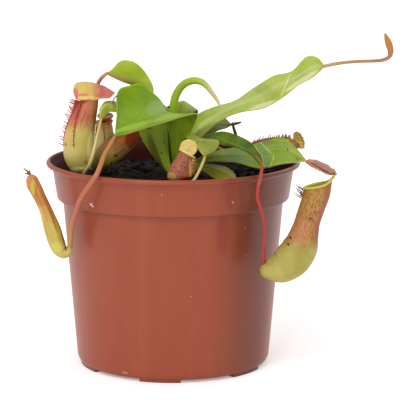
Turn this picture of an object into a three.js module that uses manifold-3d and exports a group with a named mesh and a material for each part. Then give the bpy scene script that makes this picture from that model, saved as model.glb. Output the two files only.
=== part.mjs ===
// A potted pitcher plant: a plastic nursery pot, its peat, one rosette and its pitchers.
// Millimetres, +Z up. The origin is the centre of the pot's underside, and the pot's
// front, where the plant leans out furthest, faces -Y.
import * as THREE from "three";
import { mergeVertices } from "three/addons/utils/BufferGeometryUtils.js";
import Module from "manifold-3d";

const wasm = await Module();
wasm.setup();

// Pot
const potHeight = 97.3;
const lipRadius = 60;
const lipHeight = 2.2;
const bandTopRadius = 57;
const bandFootRadius = 54.9;
const bandFootHeight = 79.3;
const bodyTopRadius = 52.2;
const baseRadius = 45.8;
const potWall = 1.2;
const baseRaise = 0.9;
const centrePadRadius = 14;
const footCount = 6;
const footWidthDeg = 25;
const firstFootDeg = -98;
const footInnerRadius = 38;
const drainHoleCount = 8;
const drainHoleRadius = 3;
const drainRingRadius = 30;
const potSides = 40;

// Peat
const soilLevel = 89.2;
const soilRoughness = 0.7;
const soilGap = 0.35;

// Growth
const cupWall = 0.6;
const bladeEdge = 0.6;
const bladeRib = 1.3;
const rootGap = 0.4;
const wingSteps = 5;
const evenSwell = [0.3, 0.73, 0.97, 0.97, 0.73, 0.3];
const bristleRoot = 0.36;

// Colours, roughness and metalness of each finish
const finishes = {
  terracottaPlastic: { color: 0xa0563e, roughness: 0.42, metalness: 0 },
  peat: { color: 0x140d0a, roughness: 1, metalness: 0 },
  woodyStem: { color: 0x5a4a26, roughness: 0.8, metalness: 0 },
  leafGreen: { color: 0x84a438, roughness: 0.45, metalness: 0 },
  leafPale: { color: 0xa6b45e, roughness: 0.45, metalness: 0 },
  leafDark: { color: 0x62802e, roughness: 0.5, metalness: 0 },
  tendrilTan: { color: 0xb9875a, roughness: 0.5, metalness: 0 },
  tendrilRed: { color: 0xa8483c, roughness: 0.5, metalness: 0 },
  tendrilYellow: { color: 0xbca468, roughness: 0.5, metalness: 0 },
  pitcherRed: { color: 0xa5553f, roughness: 0.5, metalness: 0 },
  pitcherYellow: { color: 0xb49c58, roughness: 0.5, metalness: 0 },
  pitcherBrown: { color: 0x7a4a28, roughness: 0.55, metalness: 0 },
};

// The same draws every time
function seededDraw(seed) {
  let state = seed;
  return () => {
    state = (state + 0x6d2b79f5) | 0;
    let t = Math.imul(state ^ (state >>> 15), 1 | state);
    t = (t + Math.imul(t ^ (t >>> 7), 61 | t)) ^ t;
    return ((t ^ (t >>> 14)) >>> 0) / 4294967296;
  };
}

const vector = (p) => new THREE.Vector3(p[0], p[1], p[2]);
const degrees = (angle) => (angle * Math.PI) / 180;

// A smooth curve through hand-set points
const smoothThrough = (points) => new THREE.CatmullRomCurve3(points.map(vector));

// A closed body from its points and triangles, turned so that its faces look outwards
function closedBody(points, triangles) {
  let volume = 0;
  for (const [a, b, c] of triangles) {
    volume += points[a].dot(points[b].clone().cross(points[c]));
  }
  const outward = volume < 0 ? triangles.map(([a, b, c]) => [a, c, b]) : triangles;
  const geometry = new THREE.BufferGeometry();
  geometry.setAttribute(
    "position",
    new THREE.Float32BufferAttribute(points.flatMap((p) => [p.x, p.y, p.z]), 3),
  );
  geometry.setIndex(outward.flat());
  return geometry;
}

function toSolid(geometry) {
  const bare = geometry.clone();
  bare.deleteAttribute("normal");
  bare.deleteAttribute("uv");
  const merged = mergeVertices(bare, 1e-4);
  return new wasm.Manifold(
    new wasm.Mesh({
      numProp: 3,
      vertProperties: new Float32Array(merged.attributes.position.array),
      triVerts: new Uint32Array(merged.index.array),
    }),
  );
}

function toGeometry(solid) {
  const mesh = solid.getMesh();
  const geometry = new THREE.BufferGeometry();
  geometry.setAttribute("position", new THREE.BufferAttribute(mesh.vertProperties, 3));
  geometry.setIndex(new THREE.BufferAttribute(mesh.triVerts, 1));
  return geometry;
}

// Joins what grows from a piece to that piece
function grownTogether(geometries) {
  return toGeometry(geometries.map(toSolid).reduce((sum, next) => sum.add(next)));
}

// A skin over a row of rings that all have the same number of points, closed at both ends
function loft(rings) {
  const sides = rings[0].length;
  const points = rings.flat();
  const triangles = [];
  for (let i = 0; i + 1 < rings.length; i++) {
    for (let j = 0; j < sides; j++) {
      const k = (j + 1) % sides;
      const a = i * sides + j;
      const b = i * sides + k;
      triangles.push([a, b, b + sides], [a, b + sides, a + sides]);
    }
  }
  for (const end of [0, rings.length - 1]) {
    const middle = new THREE.Vector3();
    rings[end].forEach((p) => middle.addScaledVector(p, 1 / sides));
    const pole = points.push(middle) - 1;
    for (let j = 0; j < sides; j++) {
      const a = end * sides + j;
      const b = end * sides + ((j + 1) % sides);
      triangles.push(end === 0 ? [pole, b, a] : [pole, a, b]);
    }
  }
  return closedBody(points, triangles);
}

// Straight-line value at t, from 0 to 1, along an evenly spaced list
function valueAlong(list, t) {
  const place = Math.min(Math.max(t, 0), 1) * (list.length - 1);
  const low = Math.min(Math.floor(place), list.length - 2);
  return list[low] + (list[low + 1] - list[low]) * (place - low);
}

// A round stalk along a curve. Each point carries its own radius as a fourth number.
function stalk(points, steps, sides = 6) {
  const curve = smoothThrough(points);
  const radii = points.map((p) => p[3]);
  const frames = curve.computeFrenetFrames(steps, false);
  const rings = [];
  for (let i = 0; i <= steps; i++) {
    const t = i / steps;
    const centre = curve.getPoint(curve.getUtoTmapping(t));
    const radius = valueAlong(radii, curve.getUtoTmapping(t));
    const ring = [];
    for (let j = 0; j < sides; j++) {
      const angle = (2 * Math.PI * j) / sides;
      ring.push(
        centre
          .clone()
          .addScaledVector(frames.normals[i], radius * Math.cos(angle))
          .addScaledVector(frames.binormals[i], radius * Math.sin(angle)),
      );
    }
    rings.push(ring);
  }
  return loft(rings);
}

// A thin blade through cross lines of points: each station runs from one edge over the
// midrib to the other edge, and the stations run from the base to the tip. Both faces
// are split into triangles alike, and the midrib is thicker than the edges.
function blade(stations, { rows = 11, columns = 4, edge = bladeEdge, rib = bladeRib } = {}) {
  const across = stations[0].length;
  const rails = [];
  for (let k = 0; k < across; k++) {
    rails.push(smoothThrough(stations.map((station) => station[k])));
  }
  const middle = [];
  for (let i = 0; i <= rows; i++) {
    const line = new THREE.CatmullRomCurve3(rails.map((rail) => rail.getPoint(i / rows)));
    const row = [];
    for (let j = 0; j <= columns; j++) row.push(line.getPoint(j / columns));
    middle.push(row);
  }
  const upper = [];
  const lower = [];
  for (let i = 0; i <= rows; i++) {
    for (let j = 0; j <= columns; j++) {
      const along = middle[Math.min(i + 1, rows)][j].clone().sub(middle[Math.max(i - 1, 0)][j]);
      const over = middle[i][Math.min(j + 1, columns)].clone().sub(middle[i][Math.max(j - 1, 0)]);
      const normal = over.cross(along).normalize();
      const fromRib = Math.abs((2 * j) / columns - 1);
      const half = 0.5 * (edge + (rib - edge) * Math.max(0, 1 - 2.5 * fromRib));
      upper.push(middle[i][j].clone().addScaledVector(normal, 0.5 * edge));
      lower.push(middle[i][j].clone().addScaledVector(normal, 0.5 * edge - 2 * half));
    }
  }
  const count = upper.length;
  const stride = columns + 1;
  const triangles = [];
  for (let i = 0; i < rows; i++) {
    for (let j = 0; j < columns; j++) {
      const a = i * stride + j;
      const b = a + 1;
      const c = a + stride;
      const d = c + 1;
      triangles.push([a, b, d], [a, d, c]);
      triangles.push([a + count, d + count, b + count], [a + count, c + count, d + count]);
    }
  }
  const rim = [];
  for (let j = 0; j < columns; j++) rim.push(j);
  for (let i = 0; i < rows; i++) rim.push(i * stride + columns);
  for (let j = columns; j > 0; j--) rim.push(rows * stride + j);
  for (let i = rows; i > 0; i--) rim.push(i * stride);
  rim.forEach((a, index) => {
    const b = rim[(index + 1) % rim.length];
    triangles.push([a, a + count, b + count], [a, b + count, b]);
  });
  return closedBody([...upper, ...lower], triangles);
}

// A pitcher's cup. Each spine point is [x, y, z, radius], from the pole at the base to the
// mouth. facing is the side that the wings are on, deep stretches the cup along that side,
// slant lowers the mouth there, and peak draws its back up towards the lid.
function cupFrame(cup, t) {
  const curve = smoothThrough(cup.spine);
  const centre = curve.getPoint(t);
  const along = curve.getTangent(t);
  const toFront = vector(cup.facing).addScaledVector(along, -vector(cup.facing).dot(along));
  toFront.normalize();
  const toSide = along.clone().cross(toFront);
  const radius = valueAlong(cup.spine.map((p) => p[3]), t);
  return { centre, along, toFront, toSide, radius };
}

function cupPoint(cup, t, angle, offset) {
  const { centre, along, toFront, toSide, radius } = cupFrame(cup, t);
  const reach = Math.max(radius + offset, 0.15);
  const nearMouth = Math.max(0, (t - 0.6) / 0.4);
  const atBack = Math.max(0, -Math.cos(angle));
  const rise = (cup.peak ?? 0) * atBack ** 4 - cup.slant * Math.cos(angle);
  return centre
    .addScaledVector(toFront, reach * (cup.deep ?? 1) * Math.cos(angle))
    .addScaledVector(toSide, reach * Math.sin(angle))
    .addScaledVector(along, rise * nearMouth * nearMouth);
}

function cupRing(cup, t, offset, lift = 0) {
  const { along } = cupFrame(cup, t);
  const ring = [];
  for (let j = 0; j < cup.sides; j++) {
    const angle = (2 * Math.PI * j) / cup.sides;
    ring.push(cupPoint(cup, t, angle, offset).addScaledVector(along, lift));
  }
  return ring;
}

// The outer skin up to the rolled lip, then the inner skin down to the floor
function cupShell(cup) {
  const rings = [];
  const steps = cup.steps;
  for (let i = 0; i <= steps; i++) rings.push(cupRing(cup, i / steps, 0));
  rings.push(cupRing(cup, 1, cup.lip, 0.35));
  rings.push(cupRing(cup, 1, 0.8 * cup.lip, 1));
  rings.push(cupRing(cup, 1, -0.5 * cupWall, 0.75));
  const floorStep = Math.ceil(0.3 * steps);
  for (let i = steps; i >= floorStep; i--) rings.push(cupRing(cup, i / steps, -cupWall));
  rings.push(cupRing(cup, (floorStep - 0.5) / steps, -0.45 * cupFrame(cup, 0.3).radius));
  return loft(rings);
}

// A narrow fringed wing down the front of a cup, with its bristles. at is its angle at the
// lower end and turn the change of that angle up to the mouth.
function cupWing(cup, wing, draw) {
  const { at, turn = 0, from, to, height, swell = evenSwell, bristles, bristle } = wing;
  const stations = [];
  for (let i = 0; i <= wingSteps; i++) {
    const share = i / wingSteps;
    const t = from + (to - from) * share;
    const angle = degrees(at + turn * share);
    const root = cupPoint(cup, t, angle, -0.35).toArray();
    const rim = cupPoint(cup, t, angle, height * swell[i]).toArray();
    stations.push([root, rim]);
  }
  const pieces = [blade(stations, { rows: wingSteps, columns: 1, rib: bladeEdge })];
  for (let i = 0; i < bristles; i++) {
    const share = (i + 0.5) / bristles;
    const t = from + (to - from) * share;
    const angle = degrees(at + turn * share);
    const rim = height * valueAlong(swell, share);
    const { along, toSide } = cupFrame(cup, t);
    const root = cupPoint(cup, t, angle, 0.1);
    const tip = cupPoint(cup, t, angle, rim + bristle * (0.7 + 0.5 * draw()));
    tip.addScaledVector(along, bristle * (0.3 + 0.4 * draw()));
    const corners = [tip];
    for (let j = 0; j < 3; j++) {
      const turn = (2 * Math.PI * j) / 3;
      const push = along.clone().multiplyScalar(bristleRoot * Math.cos(turn));
      push.addScaledVector(toSide, bristleRoot * Math.sin(turn));
      corners.push(root.clone().add(push));
    }
    pieces.push(closedBody(corners, [[0, 1, 2], [0, 2, 3], [0, 3, 1], [1, 3, 2]]));
  }
  return pieces;
}

function cupWithWings(cup, seed) {
  const draw = seededDraw(seed);
  const wings = cup.wings.flatMap((wing) => cupWing(cup, wing, draw));
  return grownTogether([cupShell(cup), ...wings]);
}

// A small oval lid on a short neck. centre, long and wide are its middle and half axes.
function ovalLid({ centre, long, wide, dome, neck }) {
  const middle = vector(centre);
  const normal = vector(long).cross(vector(wide)).normalize();
  const stations = [];
  for (let i = 0; i <= 6; i++) {
    const s = -0.98 + (1.96 * i) / 6;
    const half = Math.sqrt(1 - s * s);
    const station = [];
    for (const side of [-1, 0, 1]) {
      const rise = dome * (1 - s * s) * (1 - side * side * half);
      station.push(
        middle
          .clone()
          .addScaledVector(vector(long), s)
          .addScaledVector(vector(wide), side * half)
          .addScaledVector(normal, rise)
          .toArray(),
      );
    }
    stations.push(station);
  }
  return grownTogether([blade(stations, { rows: 7, rib: 0.9 }), stalk(neck, 2, 5)]);
}

// The pot: one closed profile turned round the axis, feet added and drain holes cut
function makePot() {
  const floorTop = baseRaise + potWall;
  const outline = [
    [0, 0],
    [centrePadRadius, 0],
    [centrePadRadius + 1, baseRaise],
    [baseRadius - 2.6, baseRaise],
    [baseRadius - 0.8, baseRaise + 0.9],
    [baseRadius, baseRaise + 2.8],
    [bodyTopRadius, bandFootHeight - 0.2],
    [bandFootRadius - 0.6, bandFootHeight],
    [bandFootRadius, bandFootHeight + 0.6],
    [bandTopRadius, potHeight - lipHeight - 1],
    [bandTopRadius + 1, potHeight - lipHeight - 0.2],
    [lipRadius - 0.3, potHeight - lipHeight],
    [lipRadius, potHeight - 0.5 * lipHeight],
    [lipRadius - 0.8, potHeight],
    [lipRadius - 2.4, potHeight - 0.4],
    [bandTopRadius - potWall, potHeight - lipHeight - 1.5],
    [bandFootRadius - potWall, bandFootHeight + 1.4],
    [bodyTopRadius - potWall, bandFootHeight - 0.6],
    [baseRadius - potWall, floorTop + 2.4],
    [baseRadius - 3.4, floorTop],
    [0, floorTop],
  ];
  const profile = outline.map(([x, z]) => new THREE.Vector2(x, z));
  const turned = new THREE.LatheGeometry(profile, potSides);
  turned.rotateX(Math.PI / 2);
  let pot = toSolid(turned);
  for (let i = 0; i < footCount; i++) {
    const middle = degrees(firstFootDeg + (360 / footCount) * i);
    const half = degrees(footWidthDeg / 2);
    const sector = new THREE.Shape();
    sector.absarc(0, 0, baseRadius - 1.4, middle - half, middle + half, false);
    sector.absarc(0, 0, footInnerRadius, middle + half, middle - half, true);
    const foot = new THREE.ExtrudeGeometry(sector, {
      depth: baseRaise + 0.6,
      bevelEnabled: false,
      curveSegments: 4,
    });
    pot = pot.add(toSolid(foot));
  }
  for (let i = 0; i < drainHoleCount; i++) {
    const angle = degrees((360 / drainHoleCount) * (i + 0.5));
    const drill = new THREE.CylinderGeometry(drainHoleRadius, drainHoleRadius, 8, 10);
    drill.rotateX(Math.PI / 2);
    drill.translate(drainRingRadius * Math.cos(angle), drainRingRadius * Math.sin(angle), 1);
    pot = pot.subtract(toSolid(drill));
  }
  return toGeometry(pot);
}

// The short woody stem and the roots under it. grow widens them for the hole in the peat.
function makeRootedStem(grow) {
  const widen = (points) => {
    const line = points.map(([x, y, z, r]) => [x, y, z, r + grow]);
    const [beforeTip, tip] = line.slice(-2).map(vector);
    const longer = tip.clone().add(tip.sub(beforeTip).setLength(grow));
    return [...line.slice(0, -1), [...longer.toArray(), line.at(-1)[3]]];
  };
  const stem = stalk(widen([...stemPoints].reverse()), 9, 9);
  const pieces = [stem, ...rootPoints.map((root) => stalk(widen(root), 5, 5))];
  return grownTogether(pieces);
}

const stemPoints = [
  [1.5, 4.2, 58, 1.4],
  [1.5, 4.2, 68, 2.6],
  [1.5, 4.2, 78, 3.6],
  [1.5, 4.2, 88, 4.2],
  [1.5, 4.2, 93, 4.3],
  [1.5, 4.2, 96, 3.9],
  [1.5, 4.2, 97.6, 2.2],
];

const rootPoints = [
  [[1.5, 4.2, 78, 1.6], [12, 8, 66, 1.2], [22, 12, 48, 0.9], [24, 14, 26, 0.5]],
  [[1.5, 4.2, 74, 1.6], [-6, 14, 60, 1.2], [-14, 22, 44, 0.9], [-12, 26, 24, 0.5]],
  [[1.5, 4.2, 72, 1.6], [-9, -4, 58, 1.2], [-19, -12, 42, 0.9], [-22, -10, 20, 0.5]],
  [[1.5, 4.2, 70, 1.6], [8, -8, 56, 1.2], [10, -20, 40, 0.9], [16, -24, 20, 0.5]],
  [[1.5, 4.2, 62, 1.4], [2, 3, 46, 1], [-2, 0, 30, 0.7], [2, 2, 14, 0.5]],
];

// Peat that fills the pot to a rough top, with a plain hole where the stem and roots stand
function makeSoil() {
  const draw = seededDraw(7);
  const sides = potSides / 2;
  const floorTop = baseRaise + potWall + soilGap;
  const wallRadius = (z) => {
    const lower = baseRadius - potWall;
    const upper = bodyTopRadius - potWall;
    const inBand = bandFootRadius - potWall;
    const share = (z - floorTop) / (bandFootHeight - floorTop);
    return z > bandFootHeight + 1.4 ? inBand - soilGap : lower + (upper - lower) * share - soilGap;
  };
  const levels = [
    [floorTop, baseRadius - 4.6],
    [floorTop + 3, wallRadius(floorTop + 3) - 0.4],
    [bandFootHeight - 0.6, wallRadius(bandFootHeight - 0.6)],
    [bandFootHeight + 2.2, wallRadius(bandFootHeight + 2.2)],
    [soilLevel - 0.6, wallRadius(soilLevel)],
  ];
  const rings = levels.map(([z, radius]) => circleOf(radius, z, sides, () => 0));
  for (const share of [0.92, 0.81, 0.69, 0.57, 0.44, 0.31, 0.17]) {
    const crumb = () => soilRoughness * (2 * draw() - 1);
    rings.push(circleOf(share * wallRadius(soilLevel), soilLevel, sides, crumb));
  }
  return toGeometry(toSolid(loft(rings)).subtract(toSolid(makeRootedStem(rootGap))));
}

function circleOf(radius, z, sides, rise) {
  const ring = [];
  for (let j = 0; j < sides; j++) {
    const angle = (2 * Math.PI * j) / sides;
    ring.push(new THREE.Vector3(radius * Math.cos(angle), radius * Math.sin(angle), z + rise()));
  }
  return ring;
}

// Leaves. Each line runs over the leaf from its far edge by the midrib to its near edge.
const leaves = {
  leaf_front_left: [
    [[0.1, -1, 93], [2.4, -1, 92.6], [4.2, -0.3, 92.8]],
    [[-0.8, -1.2, 101.5], [1.6, -2.2, 101.9], [4.6, -1.6, 101.7]],
    [[-1.6, -1, 110.6], [1.4, -3, 111.4], [7.9, -4, 109.8]],
    [[-2.9, 2.5, 117.8], [0.6, -3, 117.8], [11.4, -8, 119.6]],
    [[-5.3, 5, 122.8], [-4.3, -5, 120.2], [5.9, -13, 119.7]],
    [[-9.6, 7, 127.8], [-10.8, -9, 119.1], [-4.3, -17, 116.9]],
    [[-14.9, 7, 132.3], [-16.5, -13.5, 117.2], [-13.5, -21.5, 114.7]],
    [[-20.8, 4, 131.5], [-20.5, -17, 115.3], [-19.2, -23.6, 113.5]],
    [[-25.6, -1, 130.2], [-23.6, -20, 113.6], [-22.9, -24, 112.5]],
    [[-26.1, -13, 121.5], [-25.6, -22, 112.4], [-25.2, -23.4, 111.9]],
    [[-26.9, -21.6, 112.2], [-26.5, -22.2, 111.7], [-26, -22.6, 111.5]],
  ],
  leaf_top_left: [
    [[-0.8, -0.2, 91.4], [-2.6, 1.4, 91.2], [-3.7, 3.7, 91.4]],
    [[-2.2, 1.6, 100.4], [-6.8, 1.6, 99.4], [-9.6, 3, 98.4]],
    [[-3.1, 4, 111], [-10.6, 3.2, 110.4], [-16.2, 4.4, 109.4]],
    [[-6.4, 9, 118.6], [-12.4, 8.6, 118.6], [-17.6, 9.4, 117.6]],
    [[-10.4, 16, 125.4], [-14.3, 12.2, 126], [-9.4, 10.6, 127.2]],
    [[-14.6, 21, 131], [-18.6, 11, 131], [-12.6, 6.6, 136.6]],
    [[-20.4, 21, 135.4], [-23.3, 7, 133.4], [-18.4, 1, 143]],
    [[-25.2, 15, 137.4], [-26.6, 4, 135.3], [-24.4, -0.6, 143.8]],
    [[-28.4, 7, 138], [-29.1, 1.6, 136.8], [-28.2, -0.6, 140.3]],
    [[-30.4, 0.8, 138.2], [-30.6, 0, 137.9], [-30.4, -0.6, 138.4]],
  ],
  leaf_small_left: [
    [[-0.4, 0.8, 97.4], [0.6, 0.7, 97.3], [1.7, 0.7, 97.4]],
    [[-1.6, 0.7, 108.2], [0.1, 0.4, 108.4], [1.9, 0.3, 108.2]],
    [[-4.6, 2.4, 115], [-4, 1.1, 114.2], [-3.4, 0.2, 112.8]],
    [[-11, 2, 118.4], [-10.6, -1, 117.8], [-10.2, -3, 116.4]],
    [[-17.4, 1, 120.6], [-17.2, -3, 120], [-17, -5, 118.4]],
    [[-24, 1, 123], [-24.2, -5, 122.4], [-24.4, -7, 120.2]],
    [[-29.4, -2.4, 125.2], [-29.8, -8, 124.2], [-29.9, -8.8, 120.9]],
    [[-32.4, -8, 125.2], [-32.6, -12, 123.2], [-31.8, -11.6, 119.6]],
    [[-33.8, -12.4, 122.6], [-33.8, -15, 120.8], [-32.6, -13.6, 118.9]],
    [[-33.7, -15.3, 118.4], [-33.5, -15.9, 118.1], [-33.1, -15.5, 117.8]],
  ],
  leaf_long_right: [
    [[3.8, 7.3, 94.9], [5.6, 5.7, 94.7], [6.2, 3.9, 94.7]],
    [[6.2, 8.8, 101.4], [7.6, 7, 100.8], [7.6, 5.2, 100.2]],
    [[8, 10, 107.2], [9, 7.4, 105.8], [9, 5.4, 103.5]],
    [[10.9, 14, 115.3], [13.2, 8, 111.9], [14.1, 3, 108.3]],
    [[19.5, 16, 119.9], [21.3, 9, 117], [23.1, 3, 115.4]],
    [[30, 16, 123.2], [31.7, 8, 121.9], [32.4, 2, 119.4]],
    [[38.5, 15, 129.1], [40.6, 6, 126], [42.2, 0, 121.8]],
    [[47.9, 12, 135.3], [49.9, 4, 131.3], [52, -2, 127.5]],
    [[56.2, 9, 137.5], [57.7, 2, 135.4], [58.4, -4, 132.4]],
    [[63.1, 6, 145], [63.7, 0, 139.4], [63.9, -5, 135.9]],
    [[67.6, 2, 145.2], [68.2, -2, 141.4], [68.4, -4, 139.2]],
    [[70.4, -2.2, 142.2], [70.5, -3, 141.7], [70.4, -3.6, 141.4]],
  ],
  leaf_grey_right: [
    [[2.8, 8.4, 93.9], [4.6, 8, 93.5], [5.8, 7.2, 92.8]],
    [[5.2, 12.4, 99.8], [7.4, 11.4, 99.2], [7.8, 10, 98.2]],
    [[9.6, 15.2, 106], [10.8, 12.6, 104.6], [11.2, 11.4, 102.4]],
    [[14.3, 18, 111.4], [14.6, 14, 108.7], [15.2, 12.4, 105.5]],
    [[21.1, 24, 114.2], [20.5, 18, 110.9], [21, 15, 108.4]],
    [[25.5, 24, 112.8], [25.4, 21, 110.6], [25.4, 19.6, 109.1]],
    [[27.6, 22.6, 110.8], [27.8, 22, 110.4], [27.7, 21.6, 110]],
  ],
  leaf_arching_right: [
    [[4.6, 2.9, 95.8], [4.9, 1.7, 95], [4.9, 0.7, 94.3]],
    [[9.4, -2.4, 103], [10.2, -4.6, 101], [9.4, -2.2, 99.4]],
    [[14.9, -6, 108.9], [14.8, -10, 106], [14.6, -4.4, 104.9]],
    [[21.8, -12, 112], [22.1, -18, 106.9], [22, -8.8, 108]],
    [[27.2, -19, 112.3], [28, -25, 107.5], [28.3, -14.4, 108.2]],
    [[32.9, -27, 111], [32.3, -32, 106.9], [33.8, -22.4, 107]],
    [[36.8, -34, 109.3], [36.2, -38, 104.9], [38, -30.4, 105]],
    [[39.8, -40, 106.6], [38.8, -43, 102.6], [40.5, -37.4, 102.6]],
    [[40.8, -44.6, 101.6], [40.2, -45.4, 100.9], [41.2, -44.2, 100.7]],
  ],
  leaf_low_right: [
    [[6.2, 4.4, 93.8], [6.2, 3.1, 92.8], [6.3, 1.9, 92]],
    [[12.4, 4.4, 97], [12.4, 1.4, 95.8], [12, -1, 94.8]],
    [[18.9, 6, 99.7], [18.8, -0.4, 98.4], [17.8, -5, 97]],
    [[28, 8, 101], [28.2, -2, 99.3], [27.5, -12, 97.6]],
    [[37.5, 8.6, 102.6], [37.5, -4, 100.2], [35.6, -20, 96.8]],
    [[44.1, 7.4, 104.6], [44.5, -6, 102.1], [41.6, -24, 97]],
    [[51.5, 3.8, 106.8], [51.8, -9, 103], [49.6, -24.4, 98.6]],
    [[56.4, -3, 104.2], [57.2, -13, 101], [55.8, -20, 98.9]],
    [[61.8, -15.4, 99.2], [61.9, -16, 98.9], [61.6, -16.5, 98.8]],
  ],
  leaf_small_front: [
    [[3.4, 1.5, 96.4], [3.7, 1.7, 96.2], [4.1, 2, 96.4]],
    [[5, -0.6, 97.8], [5.6, -0.5, 97.6], [6.2, -0.3, 97.8]],
    [[5.3, -2.6, 100], [6.5, -2.9, 99.8], [7.5, -2.5, 100]],
    [[4.9, -4.8, 104.6], [6.2, -5.2, 104], [7.4, -5, 104.6]],
    [[5, -5.8, 109.4], [5.4, -7.2, 109], [7.2, -8.6, 110.4]],
    [[9.8, -8.6, 107.6], [8.3, -12, 108.2], [13.9, -14, 109.2]],
    [[13, -15.6, 105.6], [10.5, -20, 107], [21, -21, 109]],
    [[14.4, -22.4, 104.2], [12.8, -26, 105], [19.7, -26, 105.7]],
    [[14.6, -28.6, 103.5], [14.5, -28.9, 103.3], [14.9, -28.9, 103.3]],
  ],
  leaf_on_peat: [
    [[4.8, 0.95, 91.6], [4.4, -0.25, 91.3], [3.6, -1.35, 91.5]],
    [[9.6, -5, 95.4], [8.6, -6.6, 94.8], [7.2, -7.6, 94]],
    [[15, -9, 96.3], [14.4, -12, 95.5], [13.8, -15.6, 94]],
    [[21.8, -15, 96.4], [21.2, -22, 95.3], [17.9, -26, 93]],
    [[26.7, -23, 95.8], [25.6, -30, 94.4], [22.3, -34, 92.4]],
    [[28.7, -34, 94.8], [27.7, -38, 93.6], [25.8, -40, 92.2]],
    [[28.8, -42.5, 92.6], [28.4, -43, 92.4], [27.9, -43.2, 92.2]],
  ],
  leaf_back_right: [
    [[2.4, 8.3, 95.8], [1, 8.3, 95.8], [-0.4, 8, 95.8]],
    [[5.6, 12, 106], [3.4, 11.2, 106], [1.2, 12, 106]],
    [[7.4, 15.4, 114.8], [4.2, 14, 115.5], [1, 15.4, 114.4]],
    [[11, 22, 117.4], [4.9, 23, 121], [-1.8, 22.6, 119]],
    [[11.8, 32, 113.6], [5.2, 33.6, 118.6], [-3.8, 32.6, 115.6]],
    [[10.6, 42, 107.6], [6, 43.4, 111.5], [-0.4, 42.6, 109.2]],
    [[8.4, 49.2, 104.4], [7.6, 49.6, 104.5], [6.9, 49.4, 104.2]],
  ],
  leaf_back_left: [
    [[-1.4, 8.2, 93.8], [-2.4, 7.3, 94], [-3.2, 6.1, 94.2]],
    [[-2.6, 10.4, 105.6], [-4.4, 9.6, 105.6], [-6, 9.8, 105]],
    [[-3.4, 14, 116.6], [-7.2, 13.4, 117.4], [-10.6, 14.6, 116.6]],
    [[-3.9, 19, 119.8], [-9, 18.6, 124.4], [-16, 20, 121]],
    [[-5.6, 29, 117.6], [-12.4, 29.6, 121.4], [-20.4, 28.6, 117.2]],
    [[-11.4, 38, 111.4], [-16.2, 38, 115.2], [-22.2, 36, 111.2]],
    [[-19, 43.4, 106.6], [-19.6, 43.2, 106.4], [-20.2, 42.8, 106]],
  ],
};

// Tendrils and stalks, each point with its radius
const tendrils = {
  tendril_left: [
    [-27, -23, 111.2, 0.8], [-28.7, -32.5, 109.1, 1], [-31.1, -41.5, 105.9, 1.05],
    [-32.9, -49.2, 101.7, 1.1], [-34.4, -51.8, 98.5, 1.15], [-37.1, -52, 94.4, 1.2],
    [-40.7, -50, 89, 1.2], [-43.1, -46, 83.3, 1.2], [-44.9, -42, 77.4, 1.2],
    [-46.4, -38, 71.5, 1.2], [-47.1, -34.6, 66.2, 1.2], [-47.5, -32.6, 62.5, 1.2],
  ],
  tendril_top_left: [
    [-31.3, 0.1, 137.8, 0.7], [-33.4, 1, 136, 0.9], [-35.4, 3, 132.8, 0.9],
    [-37, 5, 127.6, 0.9], [-38.2, 8, 119.5, 0.9], [-38.8, 10.5, 107, 0.9],
    [-38.8, 12.6, 97, 0.9], [-37.4, 14, 92.7, 0.8],
  ],
  tendril_small_left: [
    [-33.6, -16.15, 117.8, 0.6], [-34.6, -18.2, 113.3, 0.75], [-35.9, -20.2, 107.6, 0.8],
    [-37.3, -21.6, 102.2, 0.85], [-39, -21, 97.4, 0.9], [-41, -17.4, 93.8, 0.9],
  ],
  tendril_bud_right: [
    [70.9, -3.3, 141.8, 0.8], [75.1, -4, 142.8, 0.8], [80.6, -4, 143.6, 0.75],
    [87.1, -5, 144.2, 0.75], [93.6, -5, 144.4, 0.75], [98, -5, 144.9, 0.85],
    [100.7, -5, 146.4, 0.95], [101.6, -5, 148.8, 1.35], [100.7, -5, 152, 1.65],
    [99.4, -5, 154.8, 1.25], [98.4, -5, 157.4, 0.3],
  ],
  tendril_arching: [
    [40, -45.75, 100.5, 0.7], [39.2, -49.2, 96.8, 0.85], [38.1, -51, 92.4, 0.8],
    [37.9, -51.2, 87.8, 0.75], [39.5, -50.2, 82.6, 0.75], [41, -49.2, 76.5, 0.75],
    [41.3, -48, 69.4, 0.75], [40.9, -46.6, 62, 0.8], [41.1, -45.8, 57.5, 0.9],
  ],
  tendril_small_front: [
    [14.5, -29.1, 102.8, 0.6], [13.3, -33, 100.3, 0.65], [11.7, -36.2, 97.4, 0.7],
    [9.5, -38.6, 94, 0.7], [7, -37.7, 92, 0.6],
  ],
  tendril_back_left: [
    [-20.6, 43.5, 105.6, 0.7], [-25, 42, 101, 0.8], [-32, 36, 96, 0.8],
    [-38.6, 26, 93.4, 0.8], [-42.6, 16, 92.4, 0.8], [-42.2, 7, 91.6, 0.8],
    [-38.6, 1.5, 92, 0.8],
  ],
  tendril_back_right: [
    [8.1, 50.1, 104, 0.7], [14, 50, 99.4, 0.8], [22, 44.6, 95.6, 0.8],
    [28.6, 34.6, 94, 0.8], [31.2, 22.6, 95, 0.8], [32.8, 14.4, 97.2, 0.8],
  ],
};

const youngLeafPoints = [
  [1.4, 4.6, 98, 1.9], [0.8, 5, 104, 2], [0.2, 5, 111, 2.05],
  [-0.1, 5, 118.5, 2.05], [1.3, 4, 127.2, 1.95], [5.1, 2, 132.7, 1.85],
  [9.8, 0, 134.6, 1.75], [14, -2, 133.8, 1.55], [17.2, -4, 130.6, 1.2],
  [20.5, -5, 126.1, 0.85], [22.3, -6, 122.9, 0.4],
];

const dryTendrilPoints = [
  [[28.3, 22.1, 110.6, 0.7], [30.4, 22.4, 111, 0.7], [33, 22.8, 111.6, 0.35]],
  [[28.7, 22.2, 110.6, 0.6], [29.7, 23, 107, 0.75], [31.6, 24.4, 102.4, 0.6], [33.6, 25.6, 98.4, 0.35]],
];

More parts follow.
